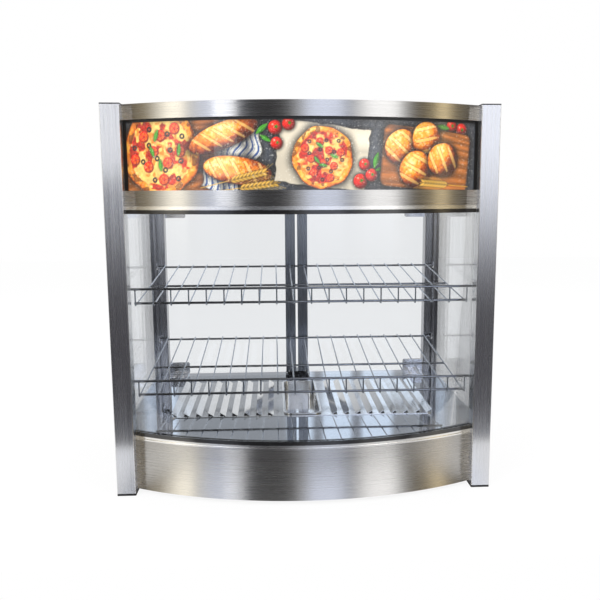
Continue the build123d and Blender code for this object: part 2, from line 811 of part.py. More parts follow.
def clip(gap, rod_z):
    """Clip in its post's corner: a T-head in the slot and a notched arm under a shelf's rod."""
    notch = rod_radius + seat_gap
    x0 = post / 2 - clip_thickness / 2
    top = rod_z + clip_above
    outline = Polyline((0, rod_z - clip_below), (gap + clip_tip, rod_z - clip_below * 0.5),
                       (gap + clip_tip + notch, rod_z - rod_radius), (gap + clip_tip + notch, top),
                       (gap + notch, top), (gap + notch, rod_z - notch), (gap - notch, rod_z - notch),
                       (gap - notch, rod_z + 2), (0, rod_z + clip_above * 0.6), close=True)
    plate = extrude(Plane.YZ.offset(x0) * make_face(outline), amount=clip_thickness)
    plate = mirror(plate, Plane.XZ)
    head_top = rod_z + clip_above * 0.6
    neck = block(x0, x0 + clip_thickness, -0.5, slot_lip + face_gap + 0.5, rod_z - clip_below, head_top)
    head = block(post / 2 - slot_width / 2 + face_gap, post / 2 + slot_width / 2 - face_gap,
                 slot_lip + face_gap, slot_lip + slot_depth - face_gap, rod_z - clip_below, head_top)
    return plate + neck + head


def make_clips():
    """Eight clips, four under each shelf, in the slots of the posts."""
    clips = []
    for back_z in (upper_shelf_z, lower_shelf_z):
        shelf = shelf_side(back_z)
        back, top = shelf["back"], shelf["top"]
        for side in (-1, 1):
            clips.append(at_corner(clip(rear_slot_y - back[0], back[1]), side, 1))
            clips.append(at_corner(clip(top[0] - front_slot_y, top[1]), side, -1))
    nodes["shelf_clips"] = group(clips)


def make_louvred_plate():
    """Cover over the heating elements, with raised louvres that open towards the sides."""
    size_y = plate_rear - plate_front
    plate = rounded_slab(2 * plate_half_width, size_y, plate_corner, 0, pan_y, floor_top, plate_top)
    length = size_y - 2 * louvre_margin
    y0 = plate_front + louvre_margin

    def louvre(x):
        rise = Polyline((x - louvre_width / 2, plate_top), (x + louvre_width / 2, plate_top + louvre_height),
                        (x + louvre_width / 2, floor_top), (x - louvre_width / 2, floor_top), close=True)
        return extrude(Plane.XZ.offset(-y0) * make_face(rise), amount=-length)

    def hollow(x):
        drop = louvre_sheet * math.hypot(louvre_width, louvre_height) / louvre_width
        left = x - louvre_width / 2 + (plate_sheet + drop) * 0.6
        slope = louvre_height / louvre_width
        inner = Polyline((left, plate_top + (left - x + louvre_width / 2) * slope - drop),
                         (x + louvre_width / 2 + 1, plate_top + louvre_height - drop + slope),
                         (x + louvre_width / 2 + 1, plate_top), (x + louvre_width / 2, plate_top),
                         (x + louvre_width / 2, floor_top - 1), (left, floor_top - 1), close=True)
        return extrude(Plane.XZ.offset(-y0 + 1) * make_face(inner), amount=-length + louvre_sheet - 1)

    right = [louvre_first + k * louvre_pitch for k in range(louvre_count)]
    for x in right:
        ramp = louvre(x)
        void = hollow(x)
        plate += ramp
        plate += mirror(ramp, Plane.YZ)
        plate -= void
        plate -= mirror(void, Plane.YZ)
    well = rounded_slab(pan_width - 2 * pan_rim, pan_length - 2 * pan_rim, pan_corner - pan_rim, 0, pan_y,
                        floor_top - 1, plate_top + 1)
    nodes["louvred_plate"] = part(plate - well)


def make_pan():
    """Lift-out water pan with a rolled rim that hangs in the louvred plate."""
    rim_z = plate_top + face_gap
    rim = rounded_slab(pan_width, pan_length, pan_corner, 0, pan_y, rim_z, rim_z + pan_rim)
    rim = fillet(rim.edges().filter_by(Plane.XY), pan_rim * 0.42)
    shrink = 2 * (pan_rim + 2 * face_gap)
    outer = rounded_slab(pan_width - shrink, pan_length - shrink, pan_corner - shrink / 2, 0, pan_y,
                         rim_z - pan_depth, rim_z + 1, pan_taper)
    inner_shrink = shrink + 2 * pan_wall
    inner = rounded_slab(pan_width - inner_shrink, pan_length - inner_shrink, pan_corner - inner_shrink / 2,
                         0, pan_y, rim_z - pan_depth + pan_wall, rim_z + pan_rim + 1, pan_taper)
    nodes["water_pan"] = part((rim + outer) - inner)


def make_heaters():
    """Two tubular elements bent into a U, on notched brackets over the bottom plate."""
    rear = plate_rear - element_rear
    front = plate_front + element_front
    elements, brackets = [], []
    middle = (element_inner_x + element_outer_x) / 2
    half = (element_outer_x - element_inner_x) / 2
    for side in (-1, 1):
        points = [(side * element_inner_x, rear, element_z), (side * element_inner_x, front, element_z),
                  (side * element_outer_x, front, element_z), (side * element_outer_x, rear, element_z)]
        elements.append(tube(points, half * 0.6, element_radius))
        for share in bracket_places:
            y = front + (rear - front) * share
            reach = half + bracket_margin
            x0, x1 = side * middle - reach, side * middle + reach
            bracket = block(x0, x1, y, y + bracket_sheet, bottom_plate_top, element_z + element_radius * 0.5)
            bracket += block(x0, x1, y, y + bracket_foot, bottom_plate_top, bottom_plate_top + bracket_sheet)
            for offset in (-half, half):
                notch_x = side * middle + offset
                bracket -= rod(notch_x, y - join, element_z, element_radius, bracket_foot, "y")
                bracket -= block(notch_x - element_radius, notch_x + element_radius, y - join,
                                 y + bracket_foot, element_z, element_z + element_radius)
            brackets.append(bracket)
    nodes["heating_elements"] = group(elements)
    nodes["element_brackets"] = group(brackets)


def switch_housing(x):
    """Rocker switch body: a bezel outside the rear panel and a box behind it."""
    face = rear_face
    bezel = block(x - switch_width / 2, x + switch_width / 2, face, face + switch_bezel,
                  control_z - switch_height / 2, control_z + switch_height / 2)
    bezel = fillet(bezel.edges().filter_by(Axis.Y), switch_corner)
    inset = switch_inset
    body = block(x - switch_width / 2 + inset, x + switch_width / 2 - inset, face - switch_depth, face + join,
                 control_z - switch_height / 2 + inset, control_z + switch_height / 2 - inset)
    edge = switch_inset + switch_wall
    cavity = block(x - switch_width / 2 + edge, x + switch_width / 2 - edge, face - rocker_depth - 2,
                   face + switch_bezel + 1, control_z - switch_height / 2 + edge,
                   control_z + switch_height / 2 - edge)
    pivot = rod(x - switch_width / 2 + edge - rocker_pin_reach, face, control_z, rocker_pin + running_gap,
                switch_width - 2 * (edge - rocker_pin_reach), "x")
    return bezel + body - cavity - pivot


def switch_rocker(x):
    """Rocker with a dished face that tilts on two small pins."""
    face = rear_face
    edge = switch_inset + switch_wall
    half_w = switch_width / 2 - edge - seat_gap
    half_h = switch_height / 2 - edge - 2.5 * seat_gap
    outline = Polyline((face - rocker_depth / 2, control_z - half_h + 1), (face + rocker_rise, control_z - half_h),
                       (face + rocker_dish, control_z), (face + rocker_rise, control_z + half_h),
                       (face - rocker_depth / 2, control_z + half_h - 1), close=True)
    body = extrude(Plane.YZ.offset(x - half_w) * make_face(outline), amount=2 * half_w)
    body += rod(x - half_w - rocker_pin_reach, face, control_z, rocker_pin,
                2 * (half_w + rocker_pin_reach), "x")
    pivot_axis = Axis((x, face, control_z), (1, 0, 0))
    return body.rotate(pivot_axis, -rocker_tilt)


def make_controls():
    """Rear base panel with the thermostat, switches, pilot lamp and power inlet."""
    face = rear_face
    panel = block(-clear_half, clear_half, rear_panel_y, face, base_gap, floor_top)
    panel -= rod(knob_x, rear_panel_y - 1, control_z, shaft_radius + 1.5, sheet + 2, "y")
    panel -= rod(pilot_x, rear_panel_y - 1, control_z, pilot_radius, sheet + 2, "y")
    for x in (power_switch_x, lamp_switch_x):
        half_w = switch_width / 2 - switch_inset
        half_h = switch_height / 2 - switch_inset
        panel -= block(x - half_w, x + half_w, rear_panel_y - 1, face + 1, control_z - half_h,
                       control_z + half_h)
    panel -= block(inlet_x - inlet_width / 2, inlet_x + inlet_width / 2, rear_panel_y - 1, face + 1,
                   control_z - inlet_height / 2, control_z + inlet_height / 2)
    for row in range(vent_rows):
        for x in (control_vent_x, control_vent_x + control_vent_step, inlet_x + control_vent_outer):
            panel -= rear_vent(x, control_z + (row - 1) * vent_pitch, control_vent_length)
    nodes["base_rear_panel"] = part(panel - shanks(base_screws))

    half = thermostat_width / 2
    body = block(knob_x - half, knob_x + half, rear_panel_y - thermostat_depth, rear_panel_y,
                 control_z - half, control_z + half)
    body -= rod(knob_x, rear_panel_y - shaft_seat - face_gap, control_z, shaft_radius + running_gap,
                shaft_seat + 1, "y")
    nodes["thermostat_body"] = part(body)
    shaft_end = face + knob_depth - shaft_set_back
    shaft = rod(knob_x, rear_panel_y - shaft_seat, control_z, shaft_radius,
                shaft_end - rear_panel_y + shaft_seat, "y")
    knob = rod(knob_x, face + seat_gap, control_z, knob_radius, knob_depth, "y")
    knob = fillet(knob.edges().sort_by(Axis.Y)[-1], knob_edge)
    ring = knob_radius + flute_radius / 2
    for k in range(flute_count):
        angle = 2 * math.pi * (k + 0.5) / flute_count
        knob -= rod(knob_x + ring * math.cos(angle), face, control_z + ring * math.sin(angle), flute_radius,
                    knob_depth + 2, "y")
    knob -= block(knob_x - pointer_width / 2, knob_x + pointer_width / 2, face + knob_depth - face_gap,
                  face + knob_depth + 1, control_z + pointer_start, control_z + knob_radius - flute_radius)
    knob -= rod(knob_x, face, control_z, shaft_radius, shaft_end - face, "y")
    nodes["thermostat_knob"] = group([knob, shaft])

    nodes["switch_housings"] = group(switch_housing(x) for x in (power_switch_x, lamp_switch_x))
    nodes["power_rocker"] = part(switch_rocker(power_switch_x))
    nodes["lamp_rocker"] = part(switch_rocker(lamp_switch_x))

    lens = rod(pilot_x, rear_panel_y - pilot_length, control_z, pilot_radius, pilot_length + sheet, "y")
    rim = rod(pilot_x, face, control_z, pilot_radius + pilot_rim, pilot_rim * 0.75, "y")
    dome = rod(pilot_x, face + 1, control_z, pilot_radius - 1, pilot_dome - 1, "y")
    dome = fillet(dome.edges().sort_by(Axis.Y)[-1], pilot_dome / 2)
    nodes["pilot_lamp"] = part(lens + rim + dome)

    inlet = block(inlet_x - inlet_width / 2, inlet_x + inlet_width / 2, face - inlet_depth, face + join,
                  control_z - inlet_height / 2, control_z + inlet_height / 2)
    cover = block(inlet_x - inlet_width / 2 - inlet_flange, inlet_x + inlet_width / 2 + inlet_flange,
                  face, face + inlet_face, control_z - inlet_height / 2 - inlet_rim,
                  control_z + inlet_height / 2 + inlet_rim)
    inlet += fillet(cover.edges().filter_by(Axis.Y), inlet_rim * 2)
    socket = block(inlet_x - socket_width / 2, inlet_x + socket_width / 2, face - inlet_depth + inlet_face,
                   face + inlet_face + 1, control_z - socket_height / 2, control_z + socket_height / 2)
    inlet -= chamfer(socket.edges().filter_by(Axis.Y).sort_by(Axis.Z)[-2:], socket_corner)
    for step, rise in ((-1, -pin_step), (0, pin_step), (1, -pin_step)):
        x, z = inlet_x + step * pin_pitch, control_z + rise
        inlet += block(x - pin_width / 2, x + pin_width / 2, face - inlet_depth + inlet_face - join,
                       face - pin_set_back, z - pin_height / 2, z + pin_height / 2)
    nodes["power_inlet"] = part(inlet)


def make_wiring():
    """Terminal block, sensor bulb with its capillary, and the leads between the parts."""
    block_y = rear_panel_y - block_from_panel
    body = block(block_x - block_width / 2, block_x + block_width / 2, block_y - block_depth / 2,
                 block_y + block_depth / 2, bottom_plate_top, bottom_plate_top + block_height)
    pin_x = [block_x + ((k + 0.5) / terminal_count - 0.5) * block_width for k in range(terminal_count)]
    for x in pin_x:
        body -= rod(x, block_y, bottom_plate_top + terminal_floor, terminal_radius, block_height, "z")
    nodes["terminal_block"] = part(body)

    bulb_y = plate_rear + bulb_gap
    bulb_z = floor_bottom - bulb_radius - 1
    bulb_x = knob_x - bulb_length / 2
    bulb = rod(bulb_x, bulb_y, bulb_z, bulb_radius, bulb_length, "x")
    bend_x = bulb_x + bulb_length + capillary_reach
    capillary = tube([(bulb_x + bulb_length - 1, bulb_y, bulb_z), (bend_x, bulb_y, bulb_z),
                      (bend_x, bulb_y + capillary_rise, control_z),
                      (knob_x + thermostat_width / 2 - join, rear_panel_y - thermostat_depth * 0.9, control_z)],
                     capillary_reach / 4, capillary_radius)
    body_half = thermostat_width / 2
    capillary -= block(knob_x - body_half, knob_x + body_half, rear_panel_y - thermostat_depth, rear_panel_y,
                       control_z - body_half, control_z + body_half)
    grip = block(knob_x - bulb_grip / 2, knob_x + bulb_grip / 2, bulb_y - bulb_radius - bulb_grip_wall,
                 bulb_y + bulb_radius + bulb_grip_wall, bulb_z - bulb_radius - 1, floor_bottom)
    grip -= rod(knob_x - bulb_grip, bulb_y, bulb_z, bulb_radius, 2 * bulb_grip, "x")
    nodes["thermostat_bulb"] = group([bulb + capillary, grip])

    block_front = block_y - block_depth / 2
    block_rear = block_y + block_depth / 2
    lead_z = bottom_plate_top + lead_rise
    element_end = plate_rear - element_rear
    near, far = block_rear + lead_pass, block_rear + lead_pass + lead_step
    inlet_back, switch_back = rear_face - inlet_depth, rear_face - switch_depth

    def to_panel(pin, x, y, back):
        return [(pin, block_rear, lead_z), (pin, y, lead_z), (x, y, control_z), (x, back, control_z)]

    def to_element(pin, x):
        return [(x, element_end, element_z), (x, element_end + lead_start, element_z),
                (pin, block_front - lead_start, lead_z), (pin, block_front, lead_z)]

    routes = [to_panel(pin_x[3], inlet_x, near, inlet_back),
              to_panel(pin_x[0], power_switch_x, near, switch_back),
              to_panel(pin_x[1], lamp_switch_x, far, switch_back),
              to_element(pin_x[2], element_inner_x), to_element(pin_x[0], -element_inner_x)]
    nodes["wiring"] = group(tube(route, lead_bend, lead_radius) for route in routes)


def make_screws():
    """Screws of the rear panels, the hinge plates and the catch."""
    places = base_screws + header_screws + floor_screws() + ceiling_screws()
    nodes["screws"] = group(screw(*place) for place in places)


make_posts()
make_base()
make_side_panels()
make_front_glazing()
make_side_glass()
make_header()
make_lamp()
make_door_fittings()
make_doors()
make_shelf("upper", upper_shelf_z)
make_shelf("lower", lower_shelf_z)
make_clips()
make_louvred_plate()
make_pan()
make_heaters()
make_controls()
make_wiring()
make_screws()

os.makedirs("parts", exist_ok=True)
for name, shape in nodes.items():
    export_step(shape, os.path.join("parts", f"{name}.step"))
print(len(nodes), "sub-parts written")
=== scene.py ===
"""Curved-front heated display cabinet: finishes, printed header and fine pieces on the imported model."""

import json
import logging
import math
from dataclasses import dataclass
from enum import Enum

import bpy
import numpy as np
from mathutils import Matrix, Vector

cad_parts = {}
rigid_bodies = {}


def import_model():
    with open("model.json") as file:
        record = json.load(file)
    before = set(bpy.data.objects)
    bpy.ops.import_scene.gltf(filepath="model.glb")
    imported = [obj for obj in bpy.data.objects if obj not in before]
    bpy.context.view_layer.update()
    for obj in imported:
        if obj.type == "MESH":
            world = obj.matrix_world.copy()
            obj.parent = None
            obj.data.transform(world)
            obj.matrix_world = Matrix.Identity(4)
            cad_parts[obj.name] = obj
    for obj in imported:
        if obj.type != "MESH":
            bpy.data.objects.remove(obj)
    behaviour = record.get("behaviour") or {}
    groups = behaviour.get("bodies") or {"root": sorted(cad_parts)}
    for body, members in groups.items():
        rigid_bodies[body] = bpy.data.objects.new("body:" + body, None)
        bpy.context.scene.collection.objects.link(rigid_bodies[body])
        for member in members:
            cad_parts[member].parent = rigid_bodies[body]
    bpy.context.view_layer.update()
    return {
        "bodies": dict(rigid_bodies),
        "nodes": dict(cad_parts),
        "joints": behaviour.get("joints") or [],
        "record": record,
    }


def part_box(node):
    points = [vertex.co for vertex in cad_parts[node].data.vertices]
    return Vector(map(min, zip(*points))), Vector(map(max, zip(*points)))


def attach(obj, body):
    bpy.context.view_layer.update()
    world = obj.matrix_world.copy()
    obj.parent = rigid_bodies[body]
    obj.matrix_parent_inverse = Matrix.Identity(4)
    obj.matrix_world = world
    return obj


log = logging.getLogger("display_cabinet")
Colour = tuple[float, float, float]
Place = tuple[float, float, float]
Size = tuple[float, float, float]
BOW_SAG = 0.0793
GOLDEN_ANGLE = 2.39996


# Camera and studio


@dataclass(frozen=True)
class CameraFit:
    """Where the photograph was taken from, in metres and radians, for a 600 by 600 picture."""

    place: Place = (-0.0516, -1.5532, 0.5315)
    yaw: float = -0.0572
    pitch: float = 0.1613
    roll: float = -0.0037
    focal_px: float = 766.73
    centre_px: tuple[float, float] = (318.44, 320.93)
    picture_px: float = 600.0
    sensor_mm: float = 36.0

    def rotation(self) -> Matrix:
        """Turn of the camera, its columns being right, up and backwards.

        Returns:
            A 3 by 3 matrix: yaw about Z first, then pitch about X, then roll about the view.
        """
        cy, sy = math.cos(self.yaw), math.sin(self.yaw)
        cp, sp = math.cos(self.pitch), math.sin(self.pitch)
        cr, sr = math.cos(self.roll), math.sin(self.roll)
        turn = np.array([[cy, sy, 0], [-sy, cy, 0], [0, 0, 1]])
        tip = np.array([[1, 0, 0], [0, cp, -sp], [0, sp, cp]])
        lean = np.array([[cr, 0, sr], [0, 1, 0], [-sr, 0, cr]])
        right, forward, up = lean @ tip @ turn
        return Matrix(np.column_stack([right, up, -forward]).tolist())

    def build(self) -> None:
        """Make the camera and give it to the scene."""
        lens = bpy.data.cameras.new("view_camera")
        lens.sensor_width = self.sensor_mm
        lens.lens = self.focal_px * self.sensor_mm / self.picture_px
        lens.shift_x = (self.picture_px / 2 - self.centre_px[0]) / self.picture_px
        lens.shift_y = (self.centre_px[1] - self.picture_px / 2) / self.picture_px
        camera = bpy.data.objects.new("view_camera", lens)
        camera.matrix_world = Matrix.Translation(self.place) @ self.rotation().to_4x4()
        bpy.context.scene.collection.objects.link(camera)
        bpy.context.scene.camera = camera
        bpy.context.scene.view_settings.view_transform = "Standard"


class Graph:
    """Short ways to add nodes to a tree. A value is a number, a tuple or another node's output."""

    def __init__(self, tree: bpy.types.NodeTree) -> None:
        """Keep the tree."""
        self.tree = tree

    def add(self, kind: str, **settings) -> bpy.types.Node:
        """Add a node and give it its settings.

        Args:
            kind: Blender's name of the node.
            settings: its properties.
        Returns:
            The node.
        """
        node = self.tree.nodes.new(kind)
        for name, value in settings.items():
            setattr(node, name, value)
        return node

    def feed(self, socket: bpy.types.NodeSocket, value) -> None:
        """Link a socket to an output, or set its own value.

        Args:
            socket: the input.
            value: what it gets.
        """
        if isinstance(value, bpy.types.NodeSocket):
            self.tree.links.new(value, socket)
        elif isinstance(value, (tuple, list)) and socket.type == "RGBA":
            socket.default_value = (*value[:3], 1.0)
        else:
            socket.default_value = value

    def math(self, operation: str, a, b=0.0, c=0.0) -> bpy.types.NodeSocket:
        """One step of arithmetic.

        Args:
            operation: Blender's name of the step.
            a: first value.
            b: second value.
            c: third value, where the step has one.
        Returns:
            The result.
        """
        node = self.add("ShaderNodeMath", operation=operation)
        for socket, value in zip(node.inputs, (a, b, c)):
            self.feed(socket, value)
        return node.outputs[0]

    def vector(self, operation: str, a, b=(0.0, 0.0, 0.0)) -> bpy.types.NodeSocket:
        """One step of vector arithmetic.

        Args:
            operation: Blender's name of the step.
            a: first vector.
            b: second vector.
        Returns:
            The result.
        """
        node = self.add("ShaderNodeVectorMath", operation=operation)
        self.feed(node.inputs[0], a)
        self.feed(node.inputs[1], b)
        return node.outputs["Vector"]

    def split(self, vector) -> tuple:
        """The three parts of a vector.

        Args:
            vector: what is split.
        Returns:
            Its X, Y and Z.
        """
        node = self.add("ShaderNodeSeparateXYZ")
        self.feed(node.inputs[0], vector)
        return tuple(node.outputs)

    def place(self) -> bpy.types.NodeSocket:
        """Object coordinates, in metres in the shared frame."""
        return self.add("ShaderNodeTexCoord").outputs["Object"]

    def scaled(self, vector, scale: Size) -> bpy.types.NodeSocket:
        """A vector stretched along each axis.

        Args:
            vector: what is stretched.
            scale: how much along each axis.
        Returns:
            The stretched vector.
        """
        node = self.add("ShaderNodeMapping")
        self.feed(node.inputs["Vector"], vector)
        node.inputs["Scale"].default_value = scale
        return node.outputs[0]

    def noise(self, vector, scale: float, detail: float = 2.0, rough: float = 0.5) -> bpy.types.NodeSocket:
        """Soft noise from 0 to 1.

        Args:
            vector: where it is read.
            scale: how fine it is.
            detail: how many finer layers it has.
            rough: how strong they are.
        Returns:
            The noise.
        """
        node = self.add("ShaderNodeTexNoise")
        self.feed(node.inputs["Vector"], vector)
        node.inputs["Scale"].default_value = scale
        node.inputs["Detail"].default_value = detail
        node.inputs["Roughness"].default_value = rough
        return node.outputs["Fac"]

    def spread(self, value, low: float, high: float, to_low: float, to_high: float) -> bpy.types.NodeSocket:
        """A range of values stretched over another one, smooth at both ends.

        Args:
            value: what is stretched.
            low: start of its range.
            high: end of its range.
            to_low: result at the start and before it.
            to_high: result at the end and past it.
        Returns:
            The result.
        """
        node = self.add("ShaderNodeMapRange", interpolation_type="SMOOTHSTEP")
        for socket, number in zip(node.inputs, (value, low, high, to_low, to_high)):
            self.feed(socket, number)
        return node.outputs[0]

    def ramp(self, value, stops: list[tuple[float, Colour]]) -> bpy.types.NodeSocket:
        """Colours along a value, smooth from stop to stop.

        Args:
            value: where the colour is read, from 0 to 1.
            stops: places from 0 to 1, in rising order, and their colours.
        Returns:
            The colour.
        """
        node = self.add("ShaderNodeValToRGB")
        node.color_ramp.interpolation = "EASE"
        bars = node.color_ramp.elements
        bars.remove(bars[1])
        bars[0].position, bars[0].color = stops[0][0], (*stops[0][1], 1.0)
        for place, colour in stops[1:]:
            bars.new(place).color = (*colour, 1.0)
        self.feed(node.inputs[0], value)
        return node.outputs[0]

    def mix(self, share, a, b) -> bpy.types.NodeSocket:
        """Two colours mixed.

        Args:
            share: share of the second colour.
            a: first colour.
            b: second colour.
        Returns:
            The mixed colour.
        """
        node = self.add("ShaderNodeMix", data_type="RGBA")
        self.feed(node.inputs[0], share)
        self.feed(node.inputs[6], a)
        self.feed(node.inputs[7], b)
        return node.outputs[2]

    def bump(self, height, strength: float, distance: float) -> bpy.types.NodeSocket:
        """A normal from a height.

        Args:
            height: the height, as a value.
            strength: how much the normal follows it.
            distance: height of a value of 1, in metres.
        Returns:
            The normal.
        """
        node = self.add("ShaderNodeBump")
        node.inputs["Strength"].default_value = strength
        node.inputs["Distance"].default_value = distance
        self.feed(node.inputs["Height"], height)
        return node.outputs[0]

    def rays(self) -> tuple[bpy.types.NodeSocket, bpy.types.NodeSocket]:
        """Whether a ray comes from the camera, straight or through glass, and whether from gloss.

        Returns:
            Both as values: 1 where it does, and 0 elsewhere.
        """
        path = self.add("ShaderNodeLightPath")
        seen = self.math("MAXIMUM", path.outputs["Is Camera Ray"], path.outputs["Is Transmission Ray"])
        return seen, path.outputs["Is Glossy Ray"]

    def shader(self, kind: str, **values) -> bpy.types.NodeSocket:
        """A shader with its sockets set or linked; an underscore in a name stands for a space.

        Args:
            kind: Blender's name of the shader.
            values: its sockets' values.
        Returns:
            The shader.
        """
        node = self.add(kind)
        for name, value in values.items():
            self.feed(node.inputs[name.replace("_", " ")], value)
        return node.outputs[0]

    def blend(self, share, a, b) -> bpy.types.NodeSocket:
        """Two shaders mixed.

        Args:
            share: share of the second shader.
            a: first shader.
            b: second shader.
        Returns:
            The mixed shader.
        """
        node = self.add("ShaderNodeMixShader")
        self.feed(node.inputs[0], share)
        self.feed(node.inputs[1], a)
        self.feed(node.inputs[2], b)
        return node.outputs[0]


class Tone(Enum):
    """Colours of the screens."""

    WHITE = (1.0, 1.0, 1.0)
    WARM = (1.0, 0.94, 0.8)
    COOL = (0.78, 0.84, 1.0)
    STRAW = (1.0, 0.8, 0.46)


@dataclass(frozen=True)
class SoftLight:
    """Rectangular light. Metal mirrors only the ones that the camera can't see."""

    name: str
    place: Place
    width: float
    height: float
    power: float
    aim: Place = (0.0, 0.0, 0.3)
    mirrored: bool = False

    def build(self) -> None:
        """Make the light, facing its aim."""
        light = bpy.data.lights.new(self.name, "AREA")
        light.shape, light.energy = "RECTANGLE", self.power
        light.size, light.size_y = self.width, self.height
        lamp = bpy.data.objects.new(self.name, light)
        heading = Vector(self.aim) - Vector(self.place)
        turn = heading.to_track_quat("-Z", "Y").to_matrix().to_4x4()
        lamp.matrix_world = Matrix.Translation(self.place) @ turn
        lamp.visible_glossy = self.mirrored
        lamp.visible_camera = lamp.visible_transmission = not self.mirrored
        bpy.context.scene.collection.objects.link(lamp)


@dataclass(frozen=True)
class Studio:
    """White room: pale table, soft lights, and pale and dark screens in front of the object.

    Only metal and glass see the screens. They stand at angles about the object, counted from
    straight in front of it towards its right-hand side. Heights are angles above the horizon,
    given as pairs where something fades. All angles are in degrees.
    """

    matt_level: float = 0.8
    table_front: float = -0.5
    table_half: float = 4.0
    table_back: float = 5.0
    front_edge: tuple[float, float] = (-0.1, 0.25)
    shade_top: tuple[float, float] = (-8.0, 4.0)
    shade_foot: tuple[float, float] = (-20.0, -17.0)
    shade: Colour = (0.05, 0.048, 0.055)
    shade_depth: float = 0.97
    low_screens: tuple[float, float] = (-21.0, -17.0)
    ceiling: tuple[float, float] = (14.0, 32.0)
    ceiling_tone: Colour = (0.05, 0.05, 0.055)
    ceiling_depth: float = 0.55
    skylight: tuple[float, float] = (52.0, 72.0)
    skylight_tone: Colour = (0.6, 0.6, 0.61)
    window_foot: tuple[float, float] = (11.0, 14.0)
    window_top: tuple[float, float] = (18.0, 20.0)
    window_wall: tuple[float, float] = (-30.0, 30.0)

    def screens(self) -> list[tuple[float, Colour]]:
        """Angle and brightness of each screen seen by upright metal.

        From the left: a warm screen, a cool one beside it, a dark curtain in front, a cool window
        and a white screen to its right, then a narrow straw-coloured one between dark curtains.

        Returns:
            Angles in rising order, with the colours there.
        """
        white, warm, cool, straw = Tone.WHITE, Tone.WARM, Tone.COOL, Tone.STRAW
        marks = [(-110, 1.0, white), (-76, 0.45, white), (-66, 0.2, straw), (-59, 0.45, straw),
                 (-54, 1.3, warm), (-49, 2.6, warm), (-45, 2.6, warm), (-41, 0.9, white),
                 (-36, 1.55, cool), (-31, 1.4, cool), (-26, 0.9, cool), (-23, 0.16, cool),
                 (-18, 0.025, white), (-9, 0.025, white), (-4, 0.08, white), (0, 0.62, white),
                 (5, 1.85, cool), (15, 1.85, cool), (19, 0.7, cool), (23, 1.15, white),
                 (27, 2.1, white), (37, 2.3, white), (41, 0.7, white), (46, 0.1, straw),
                 (52, 0.3, straw), (57, 1.7, straw), (62, 0.3, straw), (70, 0.1, straw),
                 (78, 0.5, white), (95, 0.9, white), (115, 1.0, white)]
        return [(angle, tuple(level * part for part in tone.value)) for angle, level, tone in marks]

    def windows(self) -> list[tuple[float, Colour]]:
        """Brightness of the far wall at window height: angle from straight behind, and colour.

        Returns:
            Angles in rising order, with the colours there.
        """
        wall, pane, frame = (0.5, 0.52, 0.55), (1.15, 1.3, 1.5), (0.4, 0.42, 0.46)
        return [(-10.2, wall), (-9.6, pane), (-7.8, pane), (-7.2, wall), (0.6, wall), (1.2, pane),
                (2.6, pane), (3.0, frame), (3.4, frame), (3.8, pane), (5.6, pane), (6.0, frame),
                (6.4, frame), (6.8, pane), (8.6, pane), (9.2, wall), (11.0, wall), (11.5, pane),
                (12.6, pane), (13.2, wall)]

    def around(self, graph: Graph, x, y, marks: list[tuple[float, Colour]],
               span: tuple[float, float]) -> bpy.types.NodeSocket:
        """Colours at angles about the object: the angle is the arc tangent of x over y.

        Args:
            graph: the world's nodes.
            x: direction of the ray, to the right.
            y: direction of the ray, away from where the angle is 0.
            marks: angles in rising order, with the colours there.
            span: angles at which the marks' range starts and ends.
        Returns:
            The colour.
        """
        low, high = span
        angle = graph.math("MULTIPLY", graph.math("ARCTAN2", x, y), 180 / math.pi)
        share = graph.math("MULTIPLY_ADD", angle, 1 / (high - low), -low / (high - low))
        return graph.ramp(share, [((degrees - low) / (high - low), colour) for degrees, colour in marks])

    def near_half(self, graph: Graph, x, y, height) -> bpy.types.NodeSocket:
        """Screens in front, shaded below the horizon and dim overhead, with a skylight on top.

        Args:
            graph: the world's nodes.
            x: direction of the ray, to the right.
            y: the same, backwards.
            height: its angle above the horizon.
        Returns:
            The colour.
        """
        screens = self.around(graph, x, graph.math("MULTIPLY", y, -1.0), self.screens(), (-180.0, 180.0))
        low = graph.mix(graph.spread(height, *self.low_screens, 0.5, 0.0), screens, (0.0, 0.0, 0.0))
        shaded = graph.math("MULTIPLY", graph.spread(height, *self.shade_top, self.shade_depth, 0.0),
                            graph.spread(height, *self.shade_foot, 0.0, 1.0))
        near = graph.mix(shaded, low, self.shade)
        dim = graph.mix(self.ceiling_depth, screens, self.ceiling_tone)
        over = graph.mix(graph.spread(height, *self.skylight, 0.0, 1.0), dim, self.skylight_tone)
        return graph.mix(graph.spread(height, *self.ceiling, 0.0, 1.0), near, over)

    def far_half(self, graph: Graph, x, y, height) -> bpy.types.NodeSocket:
        """Wall behind, darker with height and pale again at the top, with windows in it.

        Args:
            graph: the world's nodes.
            x: direction of the ray, to the right.
            y: the same, backwards.
            height: its angle above the horizon.
        Returns:
            The colour.
        """
        levels = [(0, (1.0, 1.0, 1.0)), (9, (1.0, 1.0, 1.0)), (15.3, (0.7, 0.71, 0.73)),
                  (21.6, (0.55, 0.57, 0.6)), (32.4, (0.24, 0.25, 0.28)), (45, (0.14, 0.14, 0.15)),
                  (61.2, (0.5, 0.5, 0.51)), (81, (0.7, 0.7, 0.71))]
        wall = graph.ramp(graph.math("DIVIDE", height, 90.0), [(at / 90, colour) for at, colour in levels])
        panes = self.around(graph, x, y, self.windows(), self.window_wall)
        sill = graph.math("MULTIPLY", graph.spread(height, *self.window_foot, 0.0, 1.0),
                          graph.spread(height, *self.window_top, 1.0, 0.0))
        return graph.mix(sill, wall, panes)

